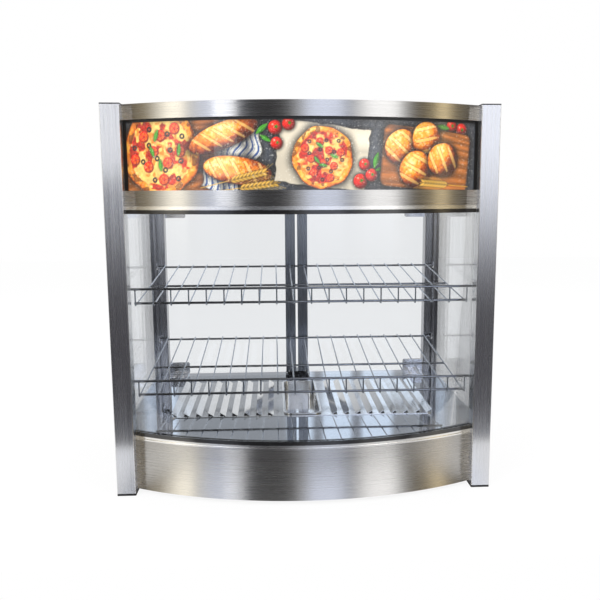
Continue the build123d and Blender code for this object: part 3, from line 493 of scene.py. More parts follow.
    def world(self) -> None:
        """Plain white for the camera, plain light for matt surfaces, and the screens for gloss."""
        world = bpy.data.worlds.new("white_room")
        world.use_nodes = True
        bpy.context.scene.world = world
        graph = Graph(world.node_tree)
        world.node_tree.nodes.clear()
        x, y, z = graph.split(graph.add("ShaderNodeTexCoord").outputs["Generated"])
        height = graph.math("MULTIPLY", graph.math("ARCSINE", z), 180 / math.pi)
        front = graph.spread(y, *self.front_edge, 1.0, 0.0)
        room = graph.mix(front, self.far_half(graph, x, y, height), self.near_half(graph, x, y, height))
        seen, gloss = graph.rays()
        matt = graph.shader("ShaderNodeBackground", Color=(1.0, 1.0, 1.0), Strength=self.matt_level)
        shine = graph.shader("ShaderNodeBackground", Color=room, Strength=1.0)
        white = graph.shader("ShaderNodeBackground", Color=(1.0, 1.0, 1.0), Strength=1.0)
        out = graph.add("ShaderNodeOutputWorld")
        graph.feed(out.inputs["Surface"], graph.blend(seen, graph.blend(gloss, matt, shine), white))

    def table(self) -> None:
        """Table top under and behind the object."""
        x, y0, y1 = self.table_half, self.table_front, self.table_back
        corners = np.array([(-x, y0, 0), (x, y0, 0), (x, y1, 0), (-x, y1, 0)])
        table = make_piece("pale_table", corners, np.array([(0, 1, 2, 3)]), smooth=False)
        PaleTable("pale_table").dress(table)

    def build(self) -> None:
        """World, table and lights."""
        self.world()
        self.table()
        for light in (SoftLight("soft_light_left", (-1.6, -1.8, 2.0), 1.5, 1.5, 26.0),
                      SoftLight("soft_light_right", (1.8, -1.2, 1.6), 1.5, 1.5, 14.0),
                      SoftLight("soft_light_behind", (0.3, 2.2, 1.8), 1.5, 1.5, 12.0),
                      SoftLight("soft_box_left", (-0.82, -1.6, 0.9), 0.3, 0.6, 1.1,
                                aim=(-0.82, 0.0, 0.9), mirrored=True)):
            light.build()


# Finishes


class Grain(Enum):
    """Which way a surface was brushed."""

    LEVEL = "level"
    UPRIGHT = "upright"
    FRONT_TO_BACK = "front to back"

    def stretch(self, fine: float, slow: float) -> Size:
        """Scale of a noise that runs along the brushing, fine across it and slow along it."""
        return {Grain.LEVEL: (slow, slow, fine), Grain.UPRIGHT: (fine, fine, slow),
                Grain.FRONT_TO_BACK: (fine, slow, fine)}[self]


def dimmed(colour: Colour, share: float) -> Colour:
    """A colour with each part multiplied, up to 1."""
    return tuple(min(part * share, 1.0) for part in colour)


class Finish:
    """Base of the finishes: makes a material once and gives it to pieces."""

    name: str

    def surface(self, graph: Graph) -> bpy.types.NodeSocket:
        """The shader."""
        raise NotImplementedError

    def material(self) -> bpy.types.Material:
        """The material, made the first time that it is asked for.

        Returns:
            The material, which all pieces of this finish share.
        """
        known = bpy.data.materials.get(self.name)
        if known:
            return known
        material = bpy.data.materials.new(self.name)
        material.use_nodes = True
        material.node_tree.nodes.clear()
        graph = Graph(material.node_tree)
        out = graph.add("ShaderNodeOutputMaterial")
        graph.feed(out.inputs["Surface"], self.surface(graph))
        return material

    def dress(self, *pieces: bpy.types.Object) -> None:
        """Give the material to pieces."""
        for piece in pieces:
            if not piece.material_slots:
                piece.data.materials.append(self.material())
            for slot in piece.material_slots:
                slot.material = self.material()


@dataclass(frozen=True)
class PaleTable(Finish):
    """Table top: nearly plain to the eye, and polished where metal sees it, except at both sides."""

    name: str
    grey: Colour = (0.85, 0.85, 0.85)
    glow: float = 1.04
    plain_share: float = 0.86
    polish: float = 0.95
    side_polish: float = 0.19
    polished_half: tuple[float, float] = (0.31, 0.37)

    def surface(self, graph: Graph) -> bpy.types.NodeSocket:
        """Matt grey under a plain glow for the eye, and gloss under some glow for metal.

        Args:
            graph: the material's nodes.
        Returns:
            The shader.
        """
        seen, gloss = graph.rays()
        matt = graph.shader("ShaderNodeBsdfDiffuse", Color=self.grey)
        glow = graph.shader("ShaderNodeEmission", Color=(1.0, 1.0, 1.0), Strength=self.glow)
        mirrored = graph.shader("ShaderNodeBsdfGlossy", Color=(1.0, 1.0, 1.0), Roughness=0.12)
        side = graph.math("ABSOLUTE", graph.split(graph.place())[0])
        polish = graph.spread(side, *self.polished_half, self.polish, self.side_polish)
        plain = graph.blend(graph.math("MULTIPLY", seen, self.plain_share), matt, glow)
        return graph.blend(gloss, plain, graph.blend(polish, glow, mirrored))


@dataclass(frozen=True)
class BrushedSteel(Finish):
    """Stainless steel with fine parallel brush lines, whose highlights spread across them."""

    name: str
    grain: Grain
    tint: Colour = (0.74, 0.73, 0.72)
    roughness: float = 0.26
    stretch: float = 0.97
    line_contrast: float = 0.05
    fine_lines: float = 2200.0
    broad_lines: float = 420.0
    stain: Colour = (0.5, 0.47, 0.44)

    def surface(self, graph: Graph) -> bpy.types.NodeSocket:
        """Metal whose colour, roughness and height follow stretched noise.

        Args:
            graph: the material's nodes.
        Returns:
            The shader.
        """
        place = graph.place()
        fine = graph.noise(graph.scaled(place, self.grain.stretch(self.fine_lines, 5.0)), 1.0, 3.0, 0.6)
        broad = graph.noise(graph.scaled(place, self.grain.stretch(self.broad_lines, 2.0)), 1.0, 3.0)
        cloud = graph.noise(place, 9.0, 3.0)
        lines = graph.math("ADD", graph.math("MULTIPLY", fine, 0.75), graph.math("MULTIPLY", broad, 0.25))
        dark = dimmed(self.tint, 1 - self.line_contrast * 1.6)
        light = dimmed(self.tint, 1 + self.line_contrast * 0.6)
        colour = graph.mix(graph.spread(lines, 0.34, 0.66, 0.0, 1.0), dark, light)
        colour = graph.mix(graph.spread(cloud, 0.3, 0.8, 0.0, 0.08), colour, self.stain)
        rough = graph.spread(lines, 0.3, 0.7, self.roughness - 0.05, self.roughness + 0.06)
        if self.grain is Grain.UPRIGHT:
            normal = graph.add("ShaderNodeNewGeometry").outputs["Normal"]
            tangent = graph.vector("CROSS_PRODUCT", normal, (0.0, 0.0, 1.0))
        elif self.grain is Grain.LEVEL:
            tangent = graph.vector("ADD", (0.0, 0.0, 1.0))
        else:
            tangent = graph.vector("ADD", (1.0, 0.0, 0.0))
        return graph.shader("ShaderNodeBsdfPrincipled", Base_Color=colour, Metallic=1.0, Roughness=rough,
                            Anisotropic=self.stretch, Tangent=tangent,
                            Normal=graph.bump(lines, 0.06, 0.0002))


@dataclass(frozen=True)
class BrightSteel(Finish):
    """Polished or plated metal with a slight haze and small marks."""

    name: str
    tint: Colour = (0.86, 0.86, 0.87)
    roughness: float = 0.08
    haze: float = 0.05
    ripple: float = 0.0

    def surface(self, graph: Graph) -> bpy.types.NodeSocket:
        """Metal with clouded roughness, and a slow ripple where it isn't flat.

        Args:
            graph: the material's nodes.
        Returns:
            The shader.
        """
        place = graph.place()
        cloud = graph.noise(place, 34.0, 4.0, 0.6)
        marks = graph.noise(graph.scaled(place, (900.0, 60.0, 900.0)), 1.0, 2.0)
        rough = graph.spread(cloud, 0.3, 0.75, self.roughness, self.roughness + self.haze)
        share = graph.spread(marks, 0.55, 0.8, 0.0, 0.5)
        colour = graph.mix(share, self.tint, dimmed(self.tint, 0.86))
        height = graph.math("ADD", graph.math("MULTIPLY", graph.noise(place, 7.0), self.ripple),
                            graph.math("MULTIPLY", cloud, 0.02))
        return graph.shader("ShaderNodeBsdfPrincipled", Base_Color=colour, Metallic=1.0, Roughness=rough,
                            Normal=graph.bump(height, 0.35, 0.002))


@dataclass(frozen=True)
class ClearGlass(Finish):
    """Thin clear pane: see-through, with a faint smeared reflection."""

    name: str
    tint: Colour = (0.958, 0.963, 0.968)
    reflection: float = 0.5

    def surface(self, graph: Graph) -> bpy.types.NodeSocket:
        """Transparent and gloss mixed by Fresnel, with smears in the gloss.

        Args:
            graph: the material's nodes.
        Returns:
            The shader.
        """
        place = graph.place()
        smear = graph.noise(graph.scaled(place, (5.0, 5.0, 11.0)), 1.0, 4.0, 0.6)
        rough = graph.spread(smear, 0.5, 0.85, 0.0, 0.09)
        clear = graph.shader("ShaderNodeBsdfTransparent", Color=self.tint)
        shine = graph.shader("ShaderNodeBsdfGlossy", Color=(1.0, 1.0, 1.0), Roughness=rough)
        fresnel = graph.add("ShaderNodeFresnel")
        fresnel.inputs["IOR"].default_value = 1.5
        share = graph.math("MULTIPLY", fresnel.outputs[0], self.reflection)
        return graph.blend(share, clear, shine)


@dataclass(frozen=True)
class GlossBlack(Finish):
    """Black seal or moulding with a soft shine."""

    name: str
    tint: Colour = (0.012, 0.012, 0.013)
    roughness: float = 0.22
    grain: float = 0.0
    coat: float = 0.0

    def surface(self, graph: Graph) -> bpy.types.NodeSocket:
        """Dark dielectric with dust in its colour and fine grain in its height.

        Args:
            graph: the material's nodes.
        Returns:
            The shader.
        """
        place = graph.place()
        dust = graph.noise(place, 60.0, 4.0, 0.65)
        dusty = tuple(part + 0.03 for part in self.tint)
        colour = graph.mix(graph.spread(dust, 0.5, 0.85, 0.0, 0.6), self.tint, dusty)
        rough = graph.spread(dust, 0.3, 0.8, self.roughness, self.roughness + 0.1)
        leather = graph.noise(place, 1500.0, 1.0)
        return graph.shader("ShaderNodeBsdfPrincipled", Base_Color=colour, Roughness=rough,
                            Coat_Weight=self.coat, Coat_Roughness=0.05,
                            Normal=graph.bump(leather, self.grain, 0.0003))


@dataclass(frozen=True)
class Moulding(Finish):
    """Coloured moulded plastic, enamel or sleeve."""

    name: str
    tint: Colour
    roughness: float = 0.35
    glow: float = 0.0

    def surface(self, graph: Graph) -> bpy.types.NodeSocket:
        """Dielectric with a little variation of colour and a fine skin.

        Args:
            graph: the material's nodes.
        Returns:
            The shader.
        """
        place = graph.place()
        cloud = graph.noise(place, 40.0, 3.0)
        colour = graph.mix(cloud, self.tint, dimmed(self.tint, 0.88))
        rough = graph.spread(cloud, 0.3, 0.7, self.roughness, self.roughness + 0.08)
        return graph.shader("ShaderNodeBsdfPrincipled", Base_Color=colour, Roughness=rough,
                            Emission_Color=self.tint, Emission_Strength=self.glow,
                            Normal=graph.bump(graph.noise(place, 900.0), 0.08, 0.0003))


@dataclass(frozen=True)
class ZincPlate(Finish):
    """Galvanised sheet with its broad crystals."""

    name: str
    tint: Colour = (0.62, 0.63, 0.65)

    def surface(self, graph: Graph) -> bpy.types.NodeSocket:
        """Metal whose roughness changes from crystal to crystal.

        Args:
            graph: the material's nodes.
        Returns:
            The shader.
        """
        place = graph.place()
        cells = graph.add("ShaderNodeTexVoronoi")
        graph.feed(cells.inputs["Vector"], place)
        cells.inputs["Scale"].default_value = 110.0
        level = graph.split(cells.outputs["Color"])[0]
        colour = graph.mix(level, self.tint, dimmed(self.tint, 0.8))
        rough = graph.spread(level, 0.0, 1.0, 0.32, 0.5)
        return graph.shader("ShaderNodeBsdfPrincipled", Base_Color=colour, Metallic=1.0, Roughness=rough)


@dataclass(frozen=True)
class HeatedSheath(Finish):
    """Element sheath browned by heat."""

    name: str

    def surface(self, graph: Graph) -> bpy.types.NodeSocket:
        """Rough metal, brown to straw in clouds.

        Args:
            graph: the material's nodes.
        Returns:
            The shader.
        """
        cloud = graph.noise(graph.place(), 28.0, 4.0, 0.6)
        browns = [(0.3, (0.1, 0.08, 0.07)), (0.55, (0.3, 0.22, 0.15)), (0.75, (0.4, 0.36, 0.3))]
        colour = graph.ramp(cloud, browns)
        return graph.shader("ShaderNodeBsdfPrincipled", Base_Color=colour, Metallic=0.9, Roughness=0.48)


@dataclass(frozen=True)
class PrintedGloss(Finish):
    """Print under a clear gloss sheet; the colours are the piece's own attribute."""

    name: str
    attribute: str = "print_colour"

    def surface(self, graph: Graph) -> bpy.types.NodeSocket:
        """Ink with a fine screen of dots, below a coat, glowing in its own colours as painted backlight.

        Args:
            graph: the material's nodes.
        Returns:
            The shader.
        """
        ink = graph.add("ShaderNodeVertexColor", layer_name=self.attribute)
        place = graph.place()
        paper = graph.noise(place, 900.0, 2.0)
        colour = graph.mix(graph.spread(paper, 0.3, 0.7, 0.0, 0.08), ink.outputs["Color"], (1.0, 0.95, 0.9))
        # The emission is painted backlight: the print glows in its own colours as though the header lamp
        # shone through it.
        return graph.shader("ShaderNodeBsdfPrincipled", Base_Color=colour, Roughness=0.4,
                            Specular_IOR_Level=0.1, Coat_Weight=1.0, Coat_IOR=1.5, Coat_Roughness=0.01,
                            Emission_Color=colour, Emission_Strength=0.3)


LEVEL_STEEL = BrushedSteel("level_brushed", Grain.LEVEL)
PANE_GLASS = ClearGlass("pane_glass")
GASKET_BLACK = GlossBlack("gasket_black", roughness=0.4)


# Surfaces


def sheet_faces(rows: int, columns: int) -> np.ndarray:
    """Quads of a grid of points.

    Args:
        rows: points along the first direction.
        columns: points along the second direction.
    Returns:
        Indices of each quad's corners, counter-clockwise seen from the side where the first
        direction runs up and the second to the right.
    """
    corner = (np.arange(rows - 1)[:, None] * columns + np.arange(columns - 1)[None, :]).ravel()
    return np.column_stack([corner, corner + 1, corner + columns + 1, corner + columns])


def make_piece(name: str, points: np.ndarray, faces: np.ndarray, smooth: bool = True) -> bpy.types.Object:
    """Put points and equal-sided faces into a mesh object at the origin.

    Args:
        name: the piece's name.
        points: places in metres, one row each.
        faces: indices into points, one row for each face.
        smooth: whether the faces are shaded as one surface.
    Returns:
        The new object.
    """
    mesh = bpy.data.meshes.new(name)
    mesh.from_pydata(np.asarray(points, float).tolist(), [], np.asarray(faces, int).tolist())
    mesh.polygons.foreach_set("use_smooth", np.full(len(mesh.polygons), smooth))
    mesh.update()
    piece = bpy.data.objects.new(name, mesh)
    bpy.context.scene.collection.objects.link(piece)
    return piece


@dataclass(frozen=True)
class Bow:
    """The front's arc: its radius, and where its centre lies behind the front."""

    radius: float
    centre_y: float
    half_width: float

    @classmethod
    def of_cabinet(cls) -> "Bow":
        """Arc through the ends and the foremost point of the header's top band, from the frame.

        The radius of a circle over a chord is the half chord squared plus the sag squared, over
        twice the sag.

        Returns:
            The arc.
        """
        low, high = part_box("header_top_band")
        half = (high[0] - low[0]) / 2
        radius = (half ** 2 + BOW_SAG ** 2) / (2 * BOW_SAG)
        return cls(radius, low[1] + radius, half)

    def points(self, along: np.ndarray, height: np.ndarray, set_back: float) -> np.ndarray:
        """Points on the arc, set back from its face.

        Args:
            along: length along the arc from its middle, towards the right.
            height: height above the table.
            set_back: how far inside the face they lie.
        Returns:
            Places: the angle is the length over the radius, and the place is the centre plus
            the set-back radius in that angle's direction.
        """
        angle = along / self.radius
        reach = self.radius - set_back
        x = reach * np.sin(angle)
        y = self.centre_y - reach * np.cos(angle)
        return np.stack(np.broadcast_arrays(x, y, height), axis=-1)


# Header print


class Ink(Enum):
    """Colours of the printed picture."""

    DARK_STONE = (0.13, 0.14, 0.16)
    PALE_STONE = (0.33, 0.35, 0.38)
    LEAF = (0.16, 0.42, 0.1)
    LEAF_RIB = (0.5, 0.68, 0.3)
    LEAF_VEIN = (0.4, 0.6, 0.25)
    STALK = (0.18, 0.42, 0.1)
    GLINT = (1.0, 0.93, 0.88)
    SCORCH = (0.2, 0.08, 0.03)
    SAUCE = (0.62, 0.14, 0.04)
    CHEESE = (0.98, 0.84, 0.5)
    GOLDEN = (0.8, 0.42, 0.12)
    OLIVE = (0.09, 0.07, 0.08)
    TOMATO = (0.8, 0.13, 0.05)
    SEEDS = (0.94, 0.5, 0.2)
    CRUMB = (0.97, 0.8, 0.5)
    BAKED_EDGE = (0.42, 0.17, 0.05)
    FLOUR = (1.0, 0.96, 0.88)
    SPILT_FLOUR = (0.96, 0.95, 0.92)
    CLOTH = (0.93, 0.92, 0.88)
    STRIPE = (0.16, 0.27, 0.48)
    WOOD = (0.62, 0.38, 0.19)
    PAPER = (0.9, 0.86, 0.78)
    STRAW = (0.8, 0.62, 0.26)
    GRAIN = (0.93, 0.74, 0.36)
    WHISKER = (0.9, 0.74, 0.4)


class Canvas:
    """Picture painted with whole-array formulas, in metres along and up the panel."""

    def __init__(self, width: float, height: float, pitch: float) -> None:
        """Start with a dark stone table.

        Args:
            width: length of the picture.
            height: height of the picture.
            pitch: distance between its points.
        """
        columns, rows = int(width / pitch) + 1, int(height / pitch) + 1
        across, up = np.linspace(-width / 2, width / 2, columns), np.linspace(0, height, rows)
        self.x, self.y = np.meshgrid(across, up)
        self.soft = pitch
        self.height = height
        stone = self.cloud(0.03, 1) * 0.6 + self.cloud(0.006, 2) * 0.4
        dark, light = np.array(Ink.DARK_STONE.value), np.array(Ink.PALE_STONE.value)
        self.colour = dark + (light - dark) * stone[..., None]

    def cloud(self, cell: float, seed: int, x: np.ndarray | None = None,
              y: np.ndarray | None = None) -> np.ndarray:
        """Smooth noise: random values on a lattice, blended with smooth steps between its points.

        Args:
            cell: distance between lattice points.
            seed: which noise.
            x: places to read it at, the canvas's own if left out.
            y: the same, upwards.
        Returns:
            Values from 0 to 1.
        """
        x = self.x if x is None else x
        y = self.y if y is None else y
        size = 64
        lattice = np.random.default_rng(seed).random((size, size))
        u, v = x / cell + 200.3, y / cell + 100.7
        i, j = np.floor(u).astype(int), np.floor(v).astype(int)
        fu, fv = u - i, v - j
        fu, fv = fu * fu * (3 - 2 * fu), fv * fv * (3 - 2 * fv)
        below, above = (lattice[i % size, (j + step) % size] * (1 - fu)
                        + lattice[(i + 1) % size, (j + step) % size] * fu for step in (0, 1))
        return below * (1 - fv) + above * fv

    def cover(self, distance: np.ndarray) -> np.ndarray:
        """Share that a shape covers, from its distance, which is negative inside it."""
        return np.clip(0.5 - distance / self.soft, 0.0, 1.0)

    def paint(self, share: np.ndarray, colour: np.ndarray) -> None:
        """Lay a colour for each point over the picture where share is above 0."""
        self.colour += (colour - self.colour) * share[..., None]

    def wash(self, share: np.ndarray, ink: Ink, light: np.ndarray | float = 1.0) -> None:
        """Lay an ink over the picture where share is above 0, as bright as the light on it."""
        self.paint(share, np.array(ink.value) * np.asarray(light)[..., None])

    def shade(self, share: np.ndarray, factor: float) -> None:
        """Darken or lighten the picture where share is above 0."""
        self.colour *= 1 + (factor - 1) * share[..., None]

    def shadow(self, distance: np.ndarray, reach: float = 0.009, depth: float = 0.35) -> None:
        """Soft shadow round a shape."""
        self.shade(np.clip(1 - distance / reach, 0, 1) ** 2, depth)

    def turned(self, cx: float, cy: float, degrees: float) -> tuple[np.ndarray, np.ndarray]:
        """Coordinates about a place, turned by an angle.

        Args:
            cx: the place, along the panel.
            cy: the place, up the panel.
            degrees: the angle, counter-clockwise.
        Returns:
            Coordinates along and across the angle.
        """
        a = math.radians(degrees)
        dx, dy = self.x - cx, self.y - cy
        return dx * math.cos(a) + dy * math.sin(a), -dx * math.sin(a) + dy * math.cos(a)

    def dome(self, u: np.ndarray, v: np.ndarray) -> np.ndarray:
        """Light on a half ball over the unit circle, brightest up and to the left."""
        rise = np.sqrt(np.clip(1 - u ** 2 - v ** 2, 0, 1))
        return np.clip(-0.42 * u + 0.5 * v + 0.76 * rise, 0, 1)

    def crust(self, light: np.ndarray, seed: int, cell: float = 0.004) -> np.ndarray:
        """Baked crust: from dark brown through orange to pale gold with the light and some noise.

        Args:
            light: light on the crust, from 0 to 1.
            seed: which noise.
            cell: size of its fine patches.
        Returns:
            A colour for each point.
        """
        patches = (self.cloud(cell, seed) - 0.5) * 0.3 + (self.cloud(cell * 4, seed + 1) - 0.5) * 0.35
        tones = {0.0: (0.2, 0.07, 0.02), 0.3: (0.5, 0.22, 0.06), 0.55: (0.79, 0.43, 0.13),
                 0.8: (0.93, 0.66, 0.28), 1.0: (1.0, 0.88, 0.6)}
        level = np.clip(light + patches, 0, 1)
        return np.stack([np.interp(level, list(tones), part) for part in zip(*tones.values())], axis=-1)

    def leaf(self, cx: float, cy: float, length: float, degrees: float) -> None:
        """Basil leaf: a pointed oval with a pale midrib and side veins.

        Args:
            cx: its centre, along the panel.
            cy: its centre, up the panel.
            length: half its length.
            degrees: its turn, counter-clockwise.
        """
        u, v = self.turned(cx, cy, degrees)
        u, v = u / length, v / length
        half = 0.33 * np.clip(1 - np.abs(u) ** 1.8, 0, 1)
        distance = (np.abs(v) - half) * length
        distance = np.where(np.abs(u) > 1, 1.0, distance)
        self.shadow(distance, 0.005, 0.5)
        share = self.cover(distance)
        light = 1.15 + 0.9 * v + 0.35 * (self.cloud(0.003, int(cx * 1e4) % 97) - 0.5)
        self.wash(share, Ink.LEAF, light)
        rib = self.cover((np.abs(v) - 0.035) * length) * (np.abs(u) < 0.95)
        veins = (np.abs(((np.abs(v) * 1.1 + u) * 4) % 1 - 0.5) < 0.06) * (np.abs(v) > 0.03)
        self.wash(share * rib * 0.7, Ink.LEAF_RIB)
        self.wash(share * veins * 0.35, Ink.LEAF_VEIN)

    def tomato(self, cx: float, cy: float, radius: float) -> None:
        """Cherry tomato: a shaded ball with a glint and a small green star.

        Args:
            cx: its centre, along the panel.
            cy: its centre, up the panel.
            radius: its radius.
        """
        u, v = (self.x - cx) / radius, (self.y - cy) / radius
        ring = np.hypot(u, v)
        self.shadow((ring - 1) * radius, radius * 0.7, 0.35)
        share = self.cover((ring - 1) * radius)
        light = self.dome(u, v)
        red, green, blue = 0.32 + 0.62 * light, 0.03 + 0.16 * light ** 2, 0.02 + 0.07 * light
        self.paint(share, np.stack([red, green, blue], axis=-1))
        glint = np.clip(1 - np.hypot(u + 0.35, v - 0.42) / 0.26, 0, 1)
        self.wash(share * glint ** 1.5 * 0.9, Ink.GLINT)
        angle = np.arctan2(v - 0.1, u - 0.15)
        star = np.hypot(u - 0.15, v - 0.1) - (0.16 + 0.2 * np.abs(np.cos(2.5 * angle)) ** 3)
        self.wash(share * self.cover(star * radius), Ink.STALK)

    def pizza(self, cx: float, cy: float, radius: float, seed: int) -> None:
        """Round pizza: puffed crust, red sauce, melted cheese, sliced tomato, olives and basil.

        Args:
            cx: its centre, along the panel.
            cy: its centre, up the panel.
            radius: its radius.
            seed: which noise and which turn of its toppings.
        """
        dx, dy = self.x - cx, self.y - cy
        ring, angle = np.hypot(dx, dy), np.arctan2(dy, dx)
        wobble = 0.018 * np.sin(5 * angle + seed) + 0.012 * np.sin(9 * angle + 2 * seed)
        size = radius * (1 + wobble)
        self.shadow(ring - size, 0.016, 0.3)
        edge = (ring / size - 0.9) / 0.1
        bulge = np.sqrt(np.clip(1 - edge ** 2, 0, 1))
        side = -0.5 * np.cos(angle) * edge + 0.5 * np.sin(angle) * edge
        self.paint(self.cover(ring - size), self.crust(0.3 + 0.4 * bulge + 0.3 * side, seed))
        scorch = (self.cloud(0.008, seed + 5) > 0.66) * (np.abs(edge) < 0.9)
        self.wash(self.cover(ring - size) * scorch * 0.5, Ink.SCORCH)
        sauce = self.cover(ring - 0.83 * size + 0.004 * (self.cloud(0.006, seed + 6) - 0.5))
        self.wash(sauce, Ink.SAUCE, 0.75 + 0.5 * self.cloud(0.003, seed + 7))
        pools = self.cloud(0.014, seed + 8) * 0.65 + self.cloud(0.005, seed + 9) * 0.35
        melt = np.clip((pools - 0.4) * 9, 0, 1)
        self.wash(sauce * melt * 0.95, Ink.CHEESE, 0.82 + 0.25 * self.cloud(0.004, seed + 10))
        gold = np.clip((self.cloud(0.006, seed + 11) - 0.6) * 6, 0, 1)
        self.wash(sauce * melt * gold * 0.75, Ink.GOLDEN)
        for across, up in self.spiral(9, 0.6, seed) * radius * 0.72:
            self.slice_of_tomato(cx + across, cy + up, radius * 0.13, sauce)
        for across, up in self.spiral(12, 0.5, seed + 1.1) * radius * 0.76:
            distance = np.hypot(self.x - cx - across, self.y - cy - up)
            hoop = np.abs(distance - radius * 0.045) - radius * 0.02
            self.wash(sauce * self.cover(hoop), Ink.OLIVE)
        spots = np.random.default_rng(seed)
        for k in range(4):
            turn, reach = k * 1.7 + seed, radius * spots.uniform(0.2, 0.55)
            px, py = cx + reach * math.cos(turn), cy + reach * math.sin(turn)
            self.leaf(px, py, radius * 0.15, math.degrees(turn) * 1.7)

    def spiral(self, count: int, first: float, start: float) -> np.ndarray:
        """Places spread evenly over the unit circle.

        Args:
            count: how many places.
            first: where the first one lies, in steps of equal area.
            start: angle of the first one, in radians.
        Returns:
            One row for each place: each turns on by the golden angle, and its distance is the
            square root of the share of the area that lies inside it.
        """
        step = np.arange(count)
        turn, reach = step * GOLDEN_ANGLE + start, np.sqrt((step + first) / count)
        return np.column_stack([reach * np.cos(turn), reach * np.sin(turn)])

    def slice_of_tomato(self, cx: float, cy: float, radius: float, inside: np.ndarray) -> None:
        """Tomato slice: a red disc with pale seed pockets.

        Args:
            cx: its centre, along the panel.
            cy: its centre, up the panel.
            radius: its radius.
            inside: share of each point that may be painted.
        """
        dx, dy = (self.x - cx) / radius, (self.y - cy) / radius
        ring, angle = np.hypot(dx, dy), np.arctan2(dy, dx)
        share = self.cover((ring - 1) * radius) * inside
        self.shade(self.cover((ring - 1.12) * radius) * inside, 0.75)
        self.wash(share, Ink.TOMATO, 0.85 + 0.25 * (dy - dx))
        pocket = (np.abs(ring - 0.52) < 0.24) * (np.abs(np.sin(2.5 * angle)) > 0.35)
        self.wash(share * pocket * 0.65, Ink.SEEDS)

    def loaf(self, cx: float, cy: float, length: float, width: float, degrees: float, cuts: int,
             seed: int) -> None:
        """Long or round loaf: a domed oval with pale floury cuts across it.

        Args:
            cx: its centre, along the panel.
            cy: its centre, up the panel.
            length: half its length.
            width: half its width.
            degrees: its turn, counter-clockwise.
            cuts: how many cuts.
            seed: which noise.
        """
        u, v = self.turned(cx, cy, degrees)
        u, v = u / length, v / width
        ring = (np.abs(u) ** 2.3 + np.abs(v) ** 2.0) ** 0.5
        distance = (ring - 1) * min(length, width)
        self.shadow(distance, 0.012, 0.3)
        share = self.cover(distance)
        a = math.radians(degrees)
        light = self.dome(u * math.cos(a) - v * math.sin(a), u * math.sin(a) + v * math.cos(a))
        self.paint(share, self.crust(light * 0.95, seed))
        from_cut = np.abs(((u + v * 0.28) * cuts / 2 + 0.5) % 1 - 0.5)
        gash = from_cut < 0.15 * np.clip(1 - np.abs(v) ** 2.2, 0, 1)
        ridge = np.abs(from_cut - 0.17) < 0.03
        inside = share * (np.abs(u) < 0.85) * (np.abs(v) < 0.75)
        self.wash(inside * gash * 0.75, Ink.CRUMB, 0.7 + 0.4 * light)
        self.wash(inside * ridge * 0.5, Ink.BAKED_EDGE)
        flour = (self.cloud(0.0022, seed + 3) > 0.8) * (light > 0.5)
        self.wash(share * flour * 0.35, Ink.FLOUR)

    def cloth(self, cx: float, cy: float, half: float, degrees: float, seed: int) -> None:
        """Folded cloth: off-white with woven stripes, pleats and a ragged edge.

        Args:
            cx: its centre, along the panel.
            cy: its centre, up the panel.
            half: half its width.
            degrees: its turn, counter-clockwise.
            seed: which folds.
        """
        u, v = self.turned(cx, cy, degrees)
        bend = 0.006 * np.sin(v * 60 + seed) + 0.004 * np.sin(v * 151)
        distance = np.maximum(np.abs(u + bend) - half, np.abs(v) - half * 1.9)
        self.shadow(distance, 0.012, 0.4)
        share = self.cover(distance)
        weave = 0.5 + 0.5 * np.sin(u * 3200) * np.sin(v * 3200)
        self.wash(share, Ink.CLOTH, 0.9 + 0.08 * weave)
        stripes = ((u + bend) * 95) % 1
        self.wash(share * (np.abs(stripes - 0.5) < 0.17) * 0.9, Ink.STRIPE)
        self.wash(share * (np.abs(stripes - 0.86) < 0.035) * 0.8, Ink.STRIPE)
        fold = 0.5 + 0.5 * np.sin(u * 130 + v * 70 + 2 * self.cloud(0.03, seed))
        self.shade(share * (1 - fold) ** 2, 0.55)

    def board(self, cx: float, cy: float, length: float, width: float, degrees: float) -> None:
        """Wooden board with growth rings and a bevelled edge.

        Args:
            cx: its centre, along the panel.
            cy: its centre, up the panel.
            length: half its length.
            width: half its width.
            degrees: its turn, counter-clockwise.
        """
        u, v = self.turned(cx, cy, degrees)
        corner = 0.012
        qx, qy = np.abs(u) - length + corner, np.abs(v) - width + corner
        outside = np.hypot(np.maximum(qx, 0), np.maximum(qy, 0))
        distance = outside + np.minimum(np.maximum(qx, qy), 0) - corner
        self.shadow(distance, 0.014, 0.3)
        share = self.cover(distance)
        sway = 7 * self.cloud(0.05, 31, u * 0.35, v) + 26 * self.cloud(0.12, 32, u * 0.3, v)
        rings = 0.5 + 0.5 * np.sin(v * 520 + sway)
        fibre = self.cloud(0.0018, 33, u * 0.07, v)
        self.wash(share, Ink.WOOD, 0.66 + 0.3 * rings + 0.22 * fibre)
        self.shade(share * np.clip(1 + distance / 0.004, 0, 1), 0.6)

    def parchment(self, cx: float, cy: float, length: float, width: float, degrees: float) -> None:
        """Sheet of baking paper with soft creases.

        Args:
            cx: its centre, along the panel.
            cy: its centre, up the panel.
            length: half its length.
            width: half its width.
            degrees: its turn, counter-clockwise.
        """
        u, v = self.turned(cx, cy, degrees)
        rough = 0.004 * (self.cloud(0.01, 41) - 0.5)
        distance = np.maximum(np.abs(u) - length, np.abs(v) - width) + rough
        self.shadow(distance, 0.01, 0.45)
        share = self.cover(distance)
        crease = np.abs(self.cloud(0.035, 42) - 0.5) * 2
        self.wash(share, Ink.PAPER, 0.82 + 0.2 * crease)

